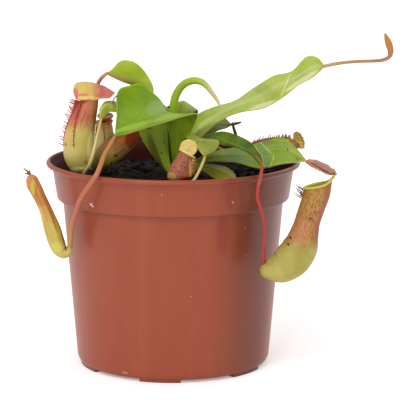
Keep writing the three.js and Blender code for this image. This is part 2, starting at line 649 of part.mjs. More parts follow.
// Pitchers, from the pole at the base to the mouth
const cups = {
  pitcher_front_left: {
    spine: [
      [-41.6, -13.8, 93, 1.4], [-42, -13.4, 94.2, 3.8], [-43.2, -12.6, 97.4, 5.9],
      [-43.9, -11.8, 102.4, 7], [-43.6, -11.2, 109.6, 6.7], [-42.2, -10.6, 115.6, 5.9],
      [-40.8, -10, 120, 5], [-39.6, -10, 124, 4.3], [-38.9, -10, 127, 3.9],
    ],
    facing: [-1, 0.1, 0], deep: 1.05, slant: 0.6, peak: 0.6, lip: 0.8, sides: 12, steps: 10,
    wings: [
      {
        at: 4, from: 0.42, to: 0.95, height: 2.5, swell: [0.1, 0.2, 0.32, 0.5, 0.8, 0.9],
        bristles: 9, bristle: 2,
      },
      {
        at: 80, turn: -33, from: 0.42, to: 0.95, height: 0.9, bristles: 8, bristle: 1.8,
      },
    ],
  },
  pitcher_standing: {
    spine: [
      [-36, 13.9, 92.5, 0.8], [-34.8, 13.6, 93.6, 2.2], [-33.8, 13.4, 96.4, 3.9],
      [-33, 13.6, 101, 4.8], [-32.8, 13.6, 106, 4.6], [-33, 13.6, 109.8, 4.1],
      [-33.1, 13.6, 112.6, 3.7],
    ],
    facing: [-0.5, -1, 0], deep: 1.05, slant: 0.5, lip: 0.7, sides: 10, steps: 8,
    wings: [
      { at: -28, from: 0.5, to: 0.95, height: 0.7, bristles: 4, bristle: 1.4 },
      { at: 28, from: 0.5, to: 0.95, height: 0.7, bristles: 4, bristle: 1.4 },
    ],
  },
  pitcher_leaning: {
    spine: [
      [-37, 1.4, 92.6, 0.9], [-35.8, 1.4, 94.2, 3.2], [-33, 1.5, 97.4, 5.4],
      [-29.2, 1.8, 100.6, 5.7], [-25.4, 4, 103.2, 5.3], [-22.2, 6.6, 105.2, 4.9],
      [-19, 9.3, 106.9, 4.5], [-15.8, 11.8, 108.6, 4.2],
    ],
    facing: [0.4, -1, 0.2], deep: 1, slant: 0.4, lip: 0.7, sides: 12, steps: 9,
    wings: [
      { at: -50, from: 0.5, to: 0.95, height: 0.7, bristles: 4, bristle: 1.4 },
      { at: -95, from: 0.5, to: 0.95, height: 0.7, bristles: 4, bristle: 1.4 },
    ],
  },
  pitcher_small_front: {
    spine: [
      [4.4, -35, 91.8, 0.9], [3.4, -34.6, 92.6, 3.6], [3, -34.2, 94.8, 5.8],
      [3.3, -33.6, 97.4, 5.2], [4.2, -32.8, 100, 4.3], [5.4, -32, 102.6, 3.7],
      [6.2, -31.6, 104.4, 3.6],
    ],
    facing: [1, -0.5, 0], deep: 1, slant: 0.5, lip: 0.7, sides: 10, steps: 8,
    wings: [
      { at: -6, from: 0.4, to: 0.95, height: 0.8, bristles: 6, bristle: 1.8 },
      { at: 36, from: 0.4, to: 0.95, height: 0.8, bristles: 5, bristle: 1.8 },
    ],
  },
  pitcher_hanging_right: {
    spine: [
      [39.6, -45.6, 54.3, 0.7], [40.3, -45.5, 54.1, 2.3], [42, -45.3, 53.7, 4],
      [45, -45, 53.9, 5.7], [49.2, -44.4, 54.7, 7.4], [54.4, -43.4, 58.4, 8.4],
      [58, -42.4, 63.6, 8], [59.8, -41.8, 69.4, 6.5], [61.3, -41.6, 75.3, 5.6],
      [63.2, -41.6, 81.5, 5.7], [64.9, -41.8, 86.9, 5.9], [65.8, -42, 91.7, 5.8],
    ],
    facing: [-1, 0.2, 0], deep: 1, slant: 2.6, peak: 2.5, lip: 0.7, sides: 12, steps: 11,
    wings: [
      { at: 14, from: 0.52, to: 0.9, height: 0.5, bristles: 0, bristle: 0 },
      { at: 62, from: 0.52, to: 0.96, height: 0.5, bristles: 0, bristle: 0 },
      { at: 14, from: 0.86, to: 1, height: 0.6, bristles: 4, bristle: 2.8 },
    ],
  },
  pitcher_lying_right: {
    spine: [
      [33.8, 13.4, 97.6, 0.8], [35.8, 13.2, 98.8, 2.4], [40, 13, 99.6, 4],
      [45.4, 13, 100.2, 4.4], [50, 13, 101, 4.2], [53.6, 13, 102, 3.6],
      [56.4, 13, 102.9, 3.5],
    ],
    facing: [-0.3, -0.1, 1], deep: 1, slant: 0.3, lip: 0.6, sides: 10, steps: 8,
    wings: [
      { at: -22, from: 0.2, to: 0.95, height: 0.7, bristles: 9, bristle: 1.4 },
      { at: 22, from: 0.2, to: 0.95, height: 0.7, bristles: 9, bristle: 1.4 },
    ],
  },
};

// The unopened pitcher at the left: lid still shut, with its spur
const closedPitcherPoints = [
  [-47.6, -32.2, 61.7, 1.2], [-48.2, -31.6, 59.7, 1.9], [-50.2, -31, 58.6, 2.8],
  [-52.2, -30.4, 60, 3.4], [-53.8, -29.6, 63.1, 3.8], [-55.5, -28.6, 68.3, 3.9],
  [-57.2, -27.8, 73.3, 3.4], [-59, -27, 78.3, 2.9], [-60.9, -26.4, 82.4, 2.8],
  [-63.1, -25.4, 86.7, 3.05], [-64.6, -24.8, 89.5, 3.2], [-65.4, -24.2, 92.2, 2.6],
  [-65.9, -23.8, 93.8, 1.2],
];
const spurThreads = [
  [[-65.7, -23.9, 93.4, 0.6], [-67.3, -23.7, 95.3, 0.45], [-69.2, -23.4, 96.9, 0.2]],
  [[-65.7, -23.9, 93.4, 0.6], [-66.3, -23.2, 94.8, 0.4], [-66.6, -22.8, 96, 0.2]],
  [[-65.7, -23.9, 93.4, 0.6], [-66.9, -24.4, 94.3, 0.4], [-68.5, -24.9, 94.6, 0.2]],
];

// The folded lid of the large pitcher, from its left lobe to the point of its right lobe
const foldedLid = [
  [[-45, -7.4, 127.6], [-45.4, -8.8, 128.4], [-45.4, -10.4, 128.6], [-44.8, -11.6, 128.6]],
  [[-44.8, -4.6, 127], [-46.2, -6.4, 130.8], [-45.7, -11.6, 130.6], [-44.8, -14, 129.2]],
  [[-42.9, -4, 126.6], [-44.9, -4.6, 133.4], [-45.2, -12, 132.4], [-44.2, -15, 129.4]],
  [[-40.6, -4, 126.6], [-41.6, -4.4, 134.1], [-41.4, -11.4, 133.3], [-40.8, -15, 129.4]],
  [[-37.6, -4, 126.8], [-37.4, -4.2, 133.7], [-37, -9.8, 132.6], [-36.6, -13, 129.5]],
  [[-33.8, -4, 127.6], [-32.8, -4.4, 132.4], [-32, -7.6, 130.4], [-32.3, -10.2, 127.5]],
  [[-31, -4.8, 128.4], [-30, -5.4, 131], [-29.3, -7.2, 129.8], [-29.6, -9, 127.5]],
  [[-27.8, -6.3, 129.7], [-27.5, -6.5, 129.6], [-27.4, -6.8, 129.3], [-27.6, -7.1, 129.1]],
];
const foldedLidNeck = [
  [-38.8, -4.5, 127.2, 0.6], [-38.8, -4.4, 129, 0.7], [-38.8, -4.2, 131, 0.5],
];

const leaningLid = [
  [[73.7, -40.6, 98], [73.5, -42, 97.4], [72.9, -43.4, 96.9]],
  [[72, -38.8, 99.4], [71.1, -43.2, 99], [69.6, -47, 98]],
  [[67.5, -38, 101.7], [66.8, -43.6, 101.4], [66, -48.2, 99.8]],
  [[62.5, -39.4, 103.4], [62, -44, 103.2], [62.2, -47.4, 101.7]],
  [[60, -43.2, 103.4], [59.8, -43.8, 103.2], [60, -44.6, 102.9]],
];
const leaningLidNeck = [
  [73.4, -43, 96.6, 0.6], [73.4, -42.6, 97.4, 0.7], [72.6, -42.2, 98.4, 0.5],
];

const ovalLids = {
  lid_standing: {
    centre: [-32.4, 13.8, 116], long: [0, 4.4, 0.9], wide: [3.8, 0, 0], dome: 0.8,
    neck: [[-32.8, 18, 114.4, 0.9], [-32.8, 18.5, 115.4, 0.8], [-32.6, 17.7, 116.8, 0.6]],
  },
  lid_leaning: {
    centre: [-13.5, 13.5, 109.8], long: [2.6, -2.9, 0], wide: [1, 0.8, -3.2], dome: 0.6,
    neck: [[-18.1, 16.9, 109.2, 0.6], [-17, 16.9, 109.6, 0.7], [-15.5, 15.7, 109.8, 0.6]],
  },
  lid_small_front: {
    centre: [7, -27.3, 107.5], long: [0, -0.7, 3.4], wide: [3.9, 0, 0], dome: 0.5,
    neck: [[6.8, -27.3, 106.2, 0.5], [6.9, -27.2, 106.8, 0.5], [7, -27.2, 107.4, 0.4]],
  },
  lid_lying_right: {
    centre: [60.1, 13, 104.2], long: [-1.1, 0.4, 4.2], wide: [2.2, -1.8, 0], dome: 0.5,
    neck: [[58.7, 13.4, 98.6, 0.6], [59.9, 13.2, 98.9, 0.7], [60.9, 13, 100.7, 0.5]],
  },
};

const root = new THREE.Group();

function add(name, geometry, finish) {
  const mesh = new THREE.Mesh(geometry, new THREE.MeshStandardMaterial(finishes[finish]));
  mesh.name = name;
  root.add(mesh);
}

const leafFinish = {
  leaf_long_right: "leafPale",
  leaf_small_front: "leafPale",
  leaf_top_left: "leafPale",
  leaf_grey_right: "leafDark",
  leaf_back_left: "leafDark",
  leaf_back_right: "leafDark",
};
const tendrilFinish = {
  tendril_top_left: "tendrilRed",
  tendril_arching: "tendrilRed",
  tendril_small_left: "tendrilYellow",
  tendril_small_front: "tendrilYellow",
};
const cupFinish = {
  pitcher_standing: "pitcherBrown",
  pitcher_leaning: "pitcherBrown",
  pitcher_hanging_right: "pitcherYellow",
  pitcher_lying_right: "pitcherBrown",
};
const largeLeaves = ["leaf_front_left", "leaf_long_right", "leaf_top_left"];

add("pot", makePot(), "terracottaPlastic");
add("soil", makeSoil(), "peat");
add("stem_with_roots", makeRootedStem(0), "woodyStem");
for (const [name, stations] of Object.entries(leaves)) {
  const fine = largeLeaves.includes(name) ? { rows: 17, columns: 6 } : {};
  add(name, blade(stations, fine), leafFinish[name] ?? "leafGreen");
}
add("young_leaf_rolled", stalk(youngLeafPoints, 18, 7), "leafGreen");
for (const [name, points] of Object.entries(tendrils)) {
  add(name, stalk(points, 2 * points.length - 2, 6), tendrilFinish[name] ?? "tendrilTan");
}
add("tendril_dry", grownTogether(dryTendrilPoints.map((p) => stalk(p, 5, 5))), "pitcherBrown");
Object.entries(cups).forEach(([name, cup], index) => {
  add(name, cupWithWings(cup, 11 + index), cupFinish[name] ?? "pitcherRed");
});
add(
  "pitcher_closed_left",
  grownTogether([
    stalk(closedPitcherPoints, 18, 10),
    ...spurThreads.map((points) => stalk(points, 4, 4)),
  ]),
  "pitcherYellow",
);
add("lid_front_left", grownTogether([blade(foldedLid), stalk(foldedLidNeck, 3, 6)]), "pitcherRed");
add(
  "lid_hanging_right",
  grownTogether([blade(leaningLid, { rows: 10 }), stalk(leaningLidNeck, 2, 6)]),
  "pitcherRed",
);
for (const [name, lid] of Object.entries(ovalLids)) {
  add(name, ovalLid(lid), name === "lid_small_front" ? "tendrilYellow" : "pitcherBrown");
}

export default root;
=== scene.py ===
"""A potted pitcher plant in a nursery pot, dressed with living surfaces.

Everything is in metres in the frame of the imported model. Route points and cross lines are
written in millimetres and turned to metres as each piece is made. Marks are written as they
were read from the photograph, in its pixels, and Eye turns them to millimetres.
"""

import logging
import math
import random
from dataclasses import dataclass, field
from enum import Enum
from functools import lru_cache
from typing import Optional, Sequence, Union

import bpy
from mathutils import Matrix, Vector, noise

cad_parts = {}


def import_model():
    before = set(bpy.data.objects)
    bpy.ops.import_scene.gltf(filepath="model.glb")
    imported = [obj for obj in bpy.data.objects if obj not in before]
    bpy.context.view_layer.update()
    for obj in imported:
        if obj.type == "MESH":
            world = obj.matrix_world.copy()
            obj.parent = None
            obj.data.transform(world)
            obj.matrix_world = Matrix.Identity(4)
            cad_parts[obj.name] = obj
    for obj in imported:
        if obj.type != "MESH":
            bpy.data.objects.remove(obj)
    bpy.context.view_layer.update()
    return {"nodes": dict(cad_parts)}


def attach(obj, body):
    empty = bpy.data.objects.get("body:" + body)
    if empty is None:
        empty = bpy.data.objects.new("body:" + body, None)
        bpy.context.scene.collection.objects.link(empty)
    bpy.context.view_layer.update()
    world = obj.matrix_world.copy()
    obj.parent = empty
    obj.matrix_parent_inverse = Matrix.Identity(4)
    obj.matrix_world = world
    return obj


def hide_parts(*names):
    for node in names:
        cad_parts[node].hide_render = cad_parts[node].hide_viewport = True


log = logging.getLogger("pitcher_plant")

MM = 0.001
OUTSIDE_END = 0.62
LIP_END = 0.71
Point = Sequence[float]
Colour = tuple[float, float, float, float]
Route = Sequence[Sequence[float]]
Stations = Sequence[Sequence[Point]]
Table = list[list[Vector]]
Frame = tuple[Vector, Vector, Vector, Vector, float]


class Slot(Enum):
    """The material slots of the record."""

    PLASTIC = "terracotta_plastic"
    PEAT = "peat"
    WOOD = "woody_stem"
    GREEN = "leaf_green"
    PALE = "leaf_pale"
    DARK = "leaf_dark"
    TAN = "tendril_tan"
    RED = "tendril_red"
    YELLOW = "tendril_yellow"
    RED_CUP = "pitcher_red"
    YELLOW_CUP = "pitcher_yellow"
    BROWN_CUP = "pitcher_brown"


# Colour and shader wiring


def srgb(red: float, green: float, blue: float) -> Colour:
    """Turns a colour of 0 to 255 on the display into scene-linear values.

    Args:
        red: Red from 0 to 255.
        green: Green from 0 to 255.
        blue: Blue from 0 to 255.

    Returns:
        Linear red, green and blue with an alpha of 1.
    """

    def linear(value: float) -> float:
        """One channel from display to linear."""
        share = value / 255
        return share / 12.92 if share <= 0.04045 else ((share + 0.055) / 1.055) ** 2.4

    return (linear(red), linear(green), linear(blue), 1.0)


class Wire:
    """A socket's value that takes part in ordinary Python arithmetic."""

    def __init__(self, graph: "Graph", socket: bpy.types.NodeSocket) -> None:
        """Keeps the graph and the socket that the value comes from."""
        self.graph = graph
        self.socket = socket

    def _math(self, operation: str, first: "Number", second: "Number" = 0.0) -> "Wire":
        """One Math node on two values."""
        return self.graph.node("Math", {"operation": operation}, {0: first, 1: second})

    def __add__(self, other: "Number") -> "Wire":
        """Sum."""
        return self._math("ADD", self, other)

    __radd__ = __add__

    def __mul__(self, other: "Number") -> "Wire":
        """Product."""
        return self._math("MULTIPLY", self, other)

    __rmul__ = __mul__

    def __sub__(self, other: "Number") -> "Wire":
        """Difference."""
        return self._math("SUBTRACT", self, other)

    def __rsub__(self, other: "Number") -> "Wire":
        """Difference with the wire on the right."""
        return self._math("SUBTRACT", other, self)

    def __truediv__(self, other: "Number") -> "Wire":
        """Quotient."""
        return self._math("DIVIDE", self, other)

    def __rtruediv__(self, other: "Number") -> "Wire":
        """Quotient with the wire on the right."""
        return self._math("DIVIDE", other, self)

    def __pow__(self, other: "Number") -> "Wire":
        """Power."""
        return self._math("POWER", self, other)

    def __neg__(self) -> "Wire":
        """The value with its sign turned."""
        return self * -1.0

    def __abs__(self) -> "Wire":
        """The value without its sign."""
        return self._math("ABSOLUTE", self)

    def sin(self) -> "Wire":
        """Sine of the value in radians."""
        return self._math("SINE", self)

    def cos(self) -> "Wire":
        """Cosine of the value in radians."""
        return self._math("COSINE", self)

    def greater(self, other: "Number") -> "Wire":
        """The larger of two values."""
        return self._math("MAXIMUM", self, other)

    def rise(self, low: float, high: float) -> "Wire":
        """A soft step from 0 at low to 1 at high; low may be the larger one."""
        return self.graph.node(
            "MapRange",
            {"interpolation_type": "SMOOTHSTEP"},
            {"Value": self, "From Min": low, "From Max": high},
        )

    def band(self, centre: float, width: float) -> "Wire":
        """A soft hill of the given half width round a value."""
        return abs(self - centre).rise(width, 0.0)

    def part(self, name: str) -> "Wire":
        """Another output of the same node."""
        return Wire(self.graph, self.socket.node.outputs[name])


Number = Union[float, Wire]


class Graph:
    """A material under construction, with a Principled shader at its end."""

    def __init__(self, name: str, **fixed: Union[float, Colour]) -> None:
        """Starts the material.

        Args:
            name: The material's name.
            **fixed: Values of the shader's own sockets that are the same all over.
        """
        self.material = bpy.data.materials.new(name)
        self.material.use_nodes = True
        self.tree = self.material.node_tree
        self.shader = self.tree.nodes["Principled BSDF"]
        for key, value in fixed.items():
            self.shader.inputs[key.replace("_", " ")].default_value = value

    def node(
        self,
        kind: str,
        settings: Optional[dict[str, object]] = None,
        inputs: Optional[dict[Union[int, str], object]] = None,
        output: Union[int, str] = 0,
    ) -> Wire:
        """Adds one node.

        Args:
            kind: The node's type without its ShaderNode prefix.
            settings: Attributes of the node, set before its sockets.
            inputs: Values or wires by socket name or index.
            output: The socket that the returned wire stands for.

        Returns:
            The wire that leaves the node.
        """
        made = self.tree.nodes.new("ShaderNode" + kind)
        for key, value in (settings or {}).items():
            setattr(made, key, value)
        for key, value in (inputs or {}).items():
            self.plug(made.inputs[key], value)
        return Wire(self, made.outputs[output])

    def plug(self, socket: bpy.types.NodeSocket, value: object) -> None:
        """Sets a socket to a plain value, or links a wire to it."""
        if isinstance(value, Wire):
            self.tree.links.new(value.socket, socket)
        else:
            socket.default_value = value

    def set(self, **sockets: Wire) -> None:
        """Links wires to the shader's sockets."""
        for key, wire in sockets.items():
            self.plug(self.shader.inputs[key.replace("_", " ")], wire)

    def mix(self, share: Number, first: object, second: object) -> Wire:
        """A colour between two colours."""
        return self.node(
            "Mix",
            {"data_type": "RGBA", "clamp_factor": True},
            {0: share, 6: first, 7: second},
            output=2,
        )

    def layers(self, ground: object, *layers: tuple[Number, object]) -> Wire:
        """Lays colours over a ground, each with the share that shows of it."""
        colour = ground
        for share, top in layers:
            colour = self.mix(share, colour, top)
        return colour

    def place(self) -> Wire:
        """The point in the object's own frame, in metres."""
        return self.node("TexCoord", output="Object")

    def along(self, axis: str, vector: Wire) -> Wire:
        """One component of a vector."""
        return self.node("SeparateXYZ", {}, {0: vector}, output=axis)

    def speckle(self, vector: Wire, scale: float, detail: float = 3, output: str = "Fac") -> Wire:
        """Soft noise from 0 to 1."""
        return self.node(
            "TexNoise", {}, {"Vector": vector, "Scale": scale, "Detail": detail}, output
        )

    def cells(self, vector: Wire, scale: float, output: str = "Distance") -> Wire:
        """Distance to the nearest of many scattered points, in cells."""
        return self.node("TexVoronoi", {}, {"Vector": vector, "Scale": scale}, output)

    def vector(self, x: Number, y: Number, z: Number = 0.0) -> Wire:
        """Three values as one vector."""
        return self.node("CombineXYZ", {}, {0: x, 1: y, 2: z})

    def relief(self, height: Wire, depth: float) -> Wire:
        """A bump whose height of 1 stands depth metres proud."""
        return self.node("Bump", {}, {"Strength": 1.0, "Distance": depth, "Height": height}, 0)

    def surface(self) -> tuple[Wire, Wire]:
        """The piece's own map: across or around, then along."""
        spot = self.node("UVMap", {"uv_map": "UVMap"})
        return self.along("X", spot), self.along("Y", spot)


# Marks read from the photograph


@dataclass(frozen=True)
class Eye:
    """The photograph's camera, in millimetres and in pixels of the 416 pixel picture."""

    away: float = 974.0
    above: float = 256.0
    focal: float = 2087.5
    pitch: float = 0.185
    middle_across: float = 173.2
    middle_down: float = 208.0
    pixels_per_mm: float = 2.15
    least_rise: float = 0.6

    def place(self, across: float, down: float, depth: float) -> tuple[float, float]:
        """Where a place in the picture lies on an upright plane that faces the front.

        Args:
            across: Pixels from the picture's left side.
            down: Pixels from its top.
            depth: How far the plane lies behind the pot's axis, in millimetres.

        Returns:
            Millimetres to the right and up.
        """
        reach = depth + self.away
        slope = (self.middle_down - down) / self.focal
        level, dip = math.cos(self.pitch), math.sin(self.pitch)
        z = reach * (slope * level - dip) / (level + slope * dip)
        return (across - self.middle_across) * (reach * level - z * dip) / self.focal, z + self.above


EYE = Eye()


class Mark:
    """A soft blotch or line, read from the photograph and laid on by a formula."""

    clear_at = 1.35
    full_at = 0.65
    grain = 500
    grain_detail = 3
    raggedness = 0.5

    def ellipse(self) -> tuple[float, float, float, float, float]:
        """Its middle, half width, half height and lean, in millimetres."""
        raise NotImplementedError

    def layer(self, graph: Graph, spot: Wire) -> tuple[Wire, Colour]:
        """How much of its colour shows, and the colour."""
        x, z, wide, high, lean = self.ellipse()
        up = (graph.along("Z", spot) * 1000.0 - z) / high
        over = (graph.along("X", spot) * 1000.0 - x) / wide - up * lean
        rough = graph.speckle(spot, self.grain, self.grain_detail) * self.raggedness
        shown = (over * over + up * up + rough).rise(self.clear_at, self.full_at)
        return shown * self.share, self.colour


@dataclass(frozen=True)
class Spot(Mark):
    """A blotch: its middle and half sizes in the picture's pixels, and its depth."""

    across: float
    down: float
    wide: float
    high: float
    depth: float
    colour: Colour
    share: float = 0.8
    lean: float = 0.0

    def ellipse(self) -> tuple[float, float, float, float, float]:
        """Its middle, half width, half height and lean, in millimetres."""
        x, z = EYE.place(self.across, self.down, self.depth)
        return x, z, self.wide / EYE.pixels_per_mm, self.high / EYE.pixels_per_mm, self.lean


@dataclass(frozen=True)
class Stroke(Mark):
    """A line: its two ends and its width in the picture's pixels, and its depth."""

    from_across: float
    from_down: float
    to_across: float
    to_down: float
    width: float
    depth: float
    colour: Colour
    share: float = 0.8

    def ellipse(self) -> tuple[float, float, float, float, float]:
        """Its middle, half width, half height and lean, in millimetres."""
        x1, z1 = EYE.place(self.from_across, self.from_down, self.depth)
        x2, z2 = EYE.place(self.to_across, self.to_down, self.depth)
        if abs(z2 - z1) < EYE.least_rise:
            z2 = z1 + EYE.least_rise
        slope = math.atan2(abs(z2 - z1), abs(x2 - x1) + 1e-6)
        half = self.width / EYE.pixels_per_mm / 2 / math.sin(slope)
        middle = (x1 + x2) / 2
        top = x1 if z1 > z2 else x2
        return middle, (z1 + z2) / 2, half, abs(z2 - z1) / 2, (top - middle) / half


# Finishes


@dataclass(frozen=True)
class LeafFinish:
    """A strap leaf: blade, midrib, rim, stalk end and tip."""

    name: str
    blade: Colour
    light: Colour
    dark: Colour
    rib: Colour
    rim: Colour
    tip: Colour
    sheen: Colour = srgb(164, 179, 114)
    sheen_line: float = 0.3
    sheen_share: float = 0.35
    stalk_end: float = 0.3
    tip_start: float = 0.93
    specks: float = 0.25
    rough: float = 0.42
    marks: tuple[Mark, ...] = ()

    def make(self) -> bpy.types.Material:
        """Builds the material."""
        graph = Graph(
            self.name, Coat_Weight=0.05, Coat_Roughness=0.3, Specular_IOR_Level=0.18,
            Subsurface_Weight=0.35, Subsurface_Scale=0.002,
        )
        u, v = graph.surface()
        spot = graph.place()
        across = abs(u * 2.0 - 1.0)
        cloud = graph.speckle(spot, 110, 4)
        fine = graph.speckle(spot, 900, 3)
        veins = ((v * 58.0 - across * 15.0).sin() * 0.5 + 0.5) ** 4.0
        long_veins = ((across * 34.0).sin() * 0.5 + 0.5) ** 6.0
        rib = across.rise(0.09, 0.015)
        rim = across.rise(0.93, 1.0)
        stalk = v.rise(self.stalk_end, self.stalk_end * 0.45)
        tip = v.rise(self.tip_start, 1.0)
        bend = graph.speckle(graph.vector(u * 1.5, v * 3.0), 1.6, 2)
        sheen = (u + bend * 0.3 - 0.15).band(self.sheen_line, 0.22)
        marks = graph.cells(spot, 210).rise(0.09, 0.04) * graph.speckle(spot, 60, 2).rise(0.55, 0.66)
        colour = graph.layers(
            self.blade,
            (cloud.rise(0.42, 0.7) * 0.75, self.light),
            (cloud.rise(0.5, 0.3) * 0.7, self.dark),
            (sheen * self.sheen_share, self.sheen),
            (veins * 0.10 + long_veins * 0.08, self.light),
            (fine.rise(0.55, 0.8) * 0.16, self.dark),
            (stalk * 0.85, self.dark),
            (rib * 0.75, self.rib),
            (rim * 0.8, self.rim),
            (tip * 0.85, self.tip),
            (marks * self.specks, srgb(70, 52, 22)),
            *(mark.layer(graph, spot) for mark in self.marks),
        )
        height = veins * 0.5 + long_veins * 0.5 + fine * 0.35 - rib * 0.9
        graph.set(
            Base_Color=colour,
            Roughness=self.rough + fine * 0.2 - sheen * 0.06,
            Normal=graph.relief(height, 0.00010),
        )
        return graph.material


@dataclass(frozen=True)
class StalkFinish:
    """A round stalk or tendril whose colour changes along it."""

    name: str
    start: Colour
    middle: Colour
    end: Colour
    fleck: Colour = srgb(120, 70, 45)
    fleck_share: float = 0.35

    def make(self) -> bpy.types.Material:
        """Builds the material."""
        graph = Graph(
            self.name, Coat_Weight=0.06, Coat_Roughness=0.35, Specular_IOR_Level=0.3
        )
        u, v = graph.surface()
        spot = graph.place()
        cloud = graph.speckle(spot, 260, 4)
        around = u * (2 * math.pi)
        grain = graph.speckle(graph.vector(around.cos(), around.sin(), v * 9.0), 4.5, 4)
        colour = graph.layers(
            self.start,
            ((v + cloud * 0.2 - 0.1).rise(0.12, 0.5), self.middle),
            ((v + cloud * 0.2 - 0.1).rise(0.6, 0.95), self.end),
            (grain.rise(0.5, 0.75) * self.fleck_share, self.fleck),
            (cloud.rise(0.6, 0.8) * 0.18, srgb(225, 205, 160)),
        )
        graph.set(
            Base_Color=colour,
            Roughness=0.42 + grain * 0.25,
            Normal=graph.relief(grain + cloud * 0.4, 0.00012),
        )
        return graph.material


@dataclass(frozen=True)
class CupFinish:
    """A pitcher's skin, with one colour below a level and another above it."""

    name: str
    low: Colour
    high: Colour
    streak: Colour
    lip: Colour
    inner: Colour
    foot: Colour
    level: float
    blur: float = 2.0
    streaks: float = 0.7
    dashes: float = 0.0
    dash: Colour = srgb(150, 70, 40)
    blots: float = 0.0
    side: Colour = srgb(150, 80, 50)
    side_share: float = 0.0
    ragged: float = 4.0
    glow: Colour = srgb(196, 190, 124)
    marks: tuple[Mark, ...] = ()

    def make(self) -> bpy.types.Material:
        """Builds the material."""
        graph = Graph(
            self.name, Coat_Weight=0.08, Coat_Roughness=0.35, Specular_IOR_Level=0.25,
            Subsurface_Weight=0.2, Subsurface_Scale=0.0015,
        )
        u, v = graph.surface()
        spot = graph.place()
        height = graph.along("Z", spot) * 1000.0
        around = u * (2 * math.pi)
        ring = graph.vector(around.cos(), around.sin(), v * 1.3)
        threads = graph.speckle(ring, 5.5, 5)
        veins = graph.speckle(graph.vector(around.cos() * 1.0, around.sin() * 1.0, v * 0.5), 15, 2)
        cloud = graph.speckle(spot, 240, 4)
        broad = graph.speckle(spot, 95, 3)
        fine = graph.speckle(spot, 1500, 3)
        wavy = height + (cloud + threads - 1.0) * self.ragged
        above = wavy.rise(self.level - self.blur, self.level + self.blur)
        slant = around + v * 3.0
        dashed = graph.cells(graph.vector(slant.cos() * 3.4, slant.sin() * 3.4, v * 13.0), 3.4)
        flecks = dashed.rise(0.52, 0.3) * cloud.rise(0.2, 0.38)
        outside = v.rise(OUTSIDE_END + 0.012, OUTSIDE_END - 0.012)
        inside = v.rise(LIP_END - 0.01, LIP_END + 0.03)
        blots = graph.cells(spot, 130).rise(0.16, 0.08) * graph.speckle(spot, 75, 2).rise(0.5, 0.6)
        colour = graph.layers(
            self.low,
            (cloud.rise(0.45, 0.75) * 0.4, self.foot),
            (broad.rise(0.45, 0.65) * 0.35, self.glow),
            (above, self.high),
            (threads.rise(0.48, 0.68) * above * self.streaks, self.streak),
            (veins.rise(0.58, 0.72) * above * self.streaks * 0.55, self.low),
            (around.cos().rise(0.55, 0.98) * above * self.side_share, self.side),
            (flecks * above * self.dashes, self.dash),
            (v.rise(OUTSIDE_END * 0.16, 0.0) * 0.6, self.foot),
            (blots * self.blots, srgb(60, 35, 18)),
            (fine.rise(0.5, 0.8) * 0.2, self.foot),
            (1.0 - outside, self.lip),
            (inside, self.inner),
            *(mark.layer(graph, spot) for mark in self.marks),
        )
        ribs = (u * (2 * math.pi * 46)).sin() * (1.0 - outside) * (1.0 - inside)
        bump = threads * 0.5 + fine * 0.35 + cloud * 0.5 + ribs * 0.35
        graph.set(
            Base_Color=colour,
            Roughness=0.40 + threads * 0.25,
            Normal=graph.relief(bump, 0.00016),
        )
        return graph.material


@dataclass(frozen=True)
class LidFinish:
    """One face of a lid: its ground, its spots and the colour of its far end."""

    name: str
    ground: Colour
    spot: Colour
    end: Colour
    rim: Colour
    spots: float = 0.6
    end_start: float = 0.6
    end_blur: float = 0.08
    ribs: float = 0.25
    marks: tuple[Mark, ...] = ()

    def make(self) -> bpy.types.Material:
        """Builds the material."""
        graph = Graph(
            self.name, Coat_Weight=0.06, Coat_Roughness=0.35, Specular_IOR_Level=0.3
        )
        u, v = graph.surface()
        spot = graph.place()
        cloud = graph.speckle(spot, 380, 4)
        fine = graph.speckle(spot, 1600, 3)
        dots = graph.cells(spot, 620).rise(0.38, 0.2) * cloud.rise(0.42, 0.6)
        lines = ((v * 40.0 + cloud * 3.0).sin() * 0.5 + 0.5) ** 3.0
        edge = abs(u * 2.0 - 1.0).rise(0.86, 1.0)
        ends = (v + cloud * 0.1 - 0.05).rise(
            self.end_start - self.end_blur, self.end_start + self.end_blur
        )
        colour = graph.layers(
            self.ground,
            (cloud.rise(0.5, 0.75) * 0.35, self.rim),
            (ends, self.end),
            (lines * self.ribs, self.spot),
            (dots * self.spots, self.spot),
            (fine.rise(0.5, 0.8) * 0.2, self.spot),
            (edge * 0.6, self.rim),
            *(mark.layer(graph, spot) for mark in self.marks),
        )
        graph.set(
            Base_Color=colour,
            Roughness=0.45 + fine * 0.2,
            Normal=graph.relief(cloud * 0.8 + lines * 0.4 + fine * 0.3, 0.00014),
        )
        return graph.material


@dataclass(frozen=True)
class BristleFinish:
    """Thin bristles and the skin of the wings that carry them."""

    name: str
    root: Colour
    tip: Colour

    def make(self) -> bpy.types.Material:
        """Builds the material."""
        graph = Graph(self.name, Roughness=0.5, Specular_IOR_Level=0.3)
        _, v = graph.surface()
        cloud = graph.speckle(graph.place(), 700, 3)
        graph.set(
            Base_Color=graph.layers(
                self.root,
                (v.rise(0.15, 0.9), self.tip),
                (cloud.rise(0.5, 0.7) * 0.3, self.tip),
            ),
            Normal=graph.relief(cloud, 0.00008),
        )
        return graph.material


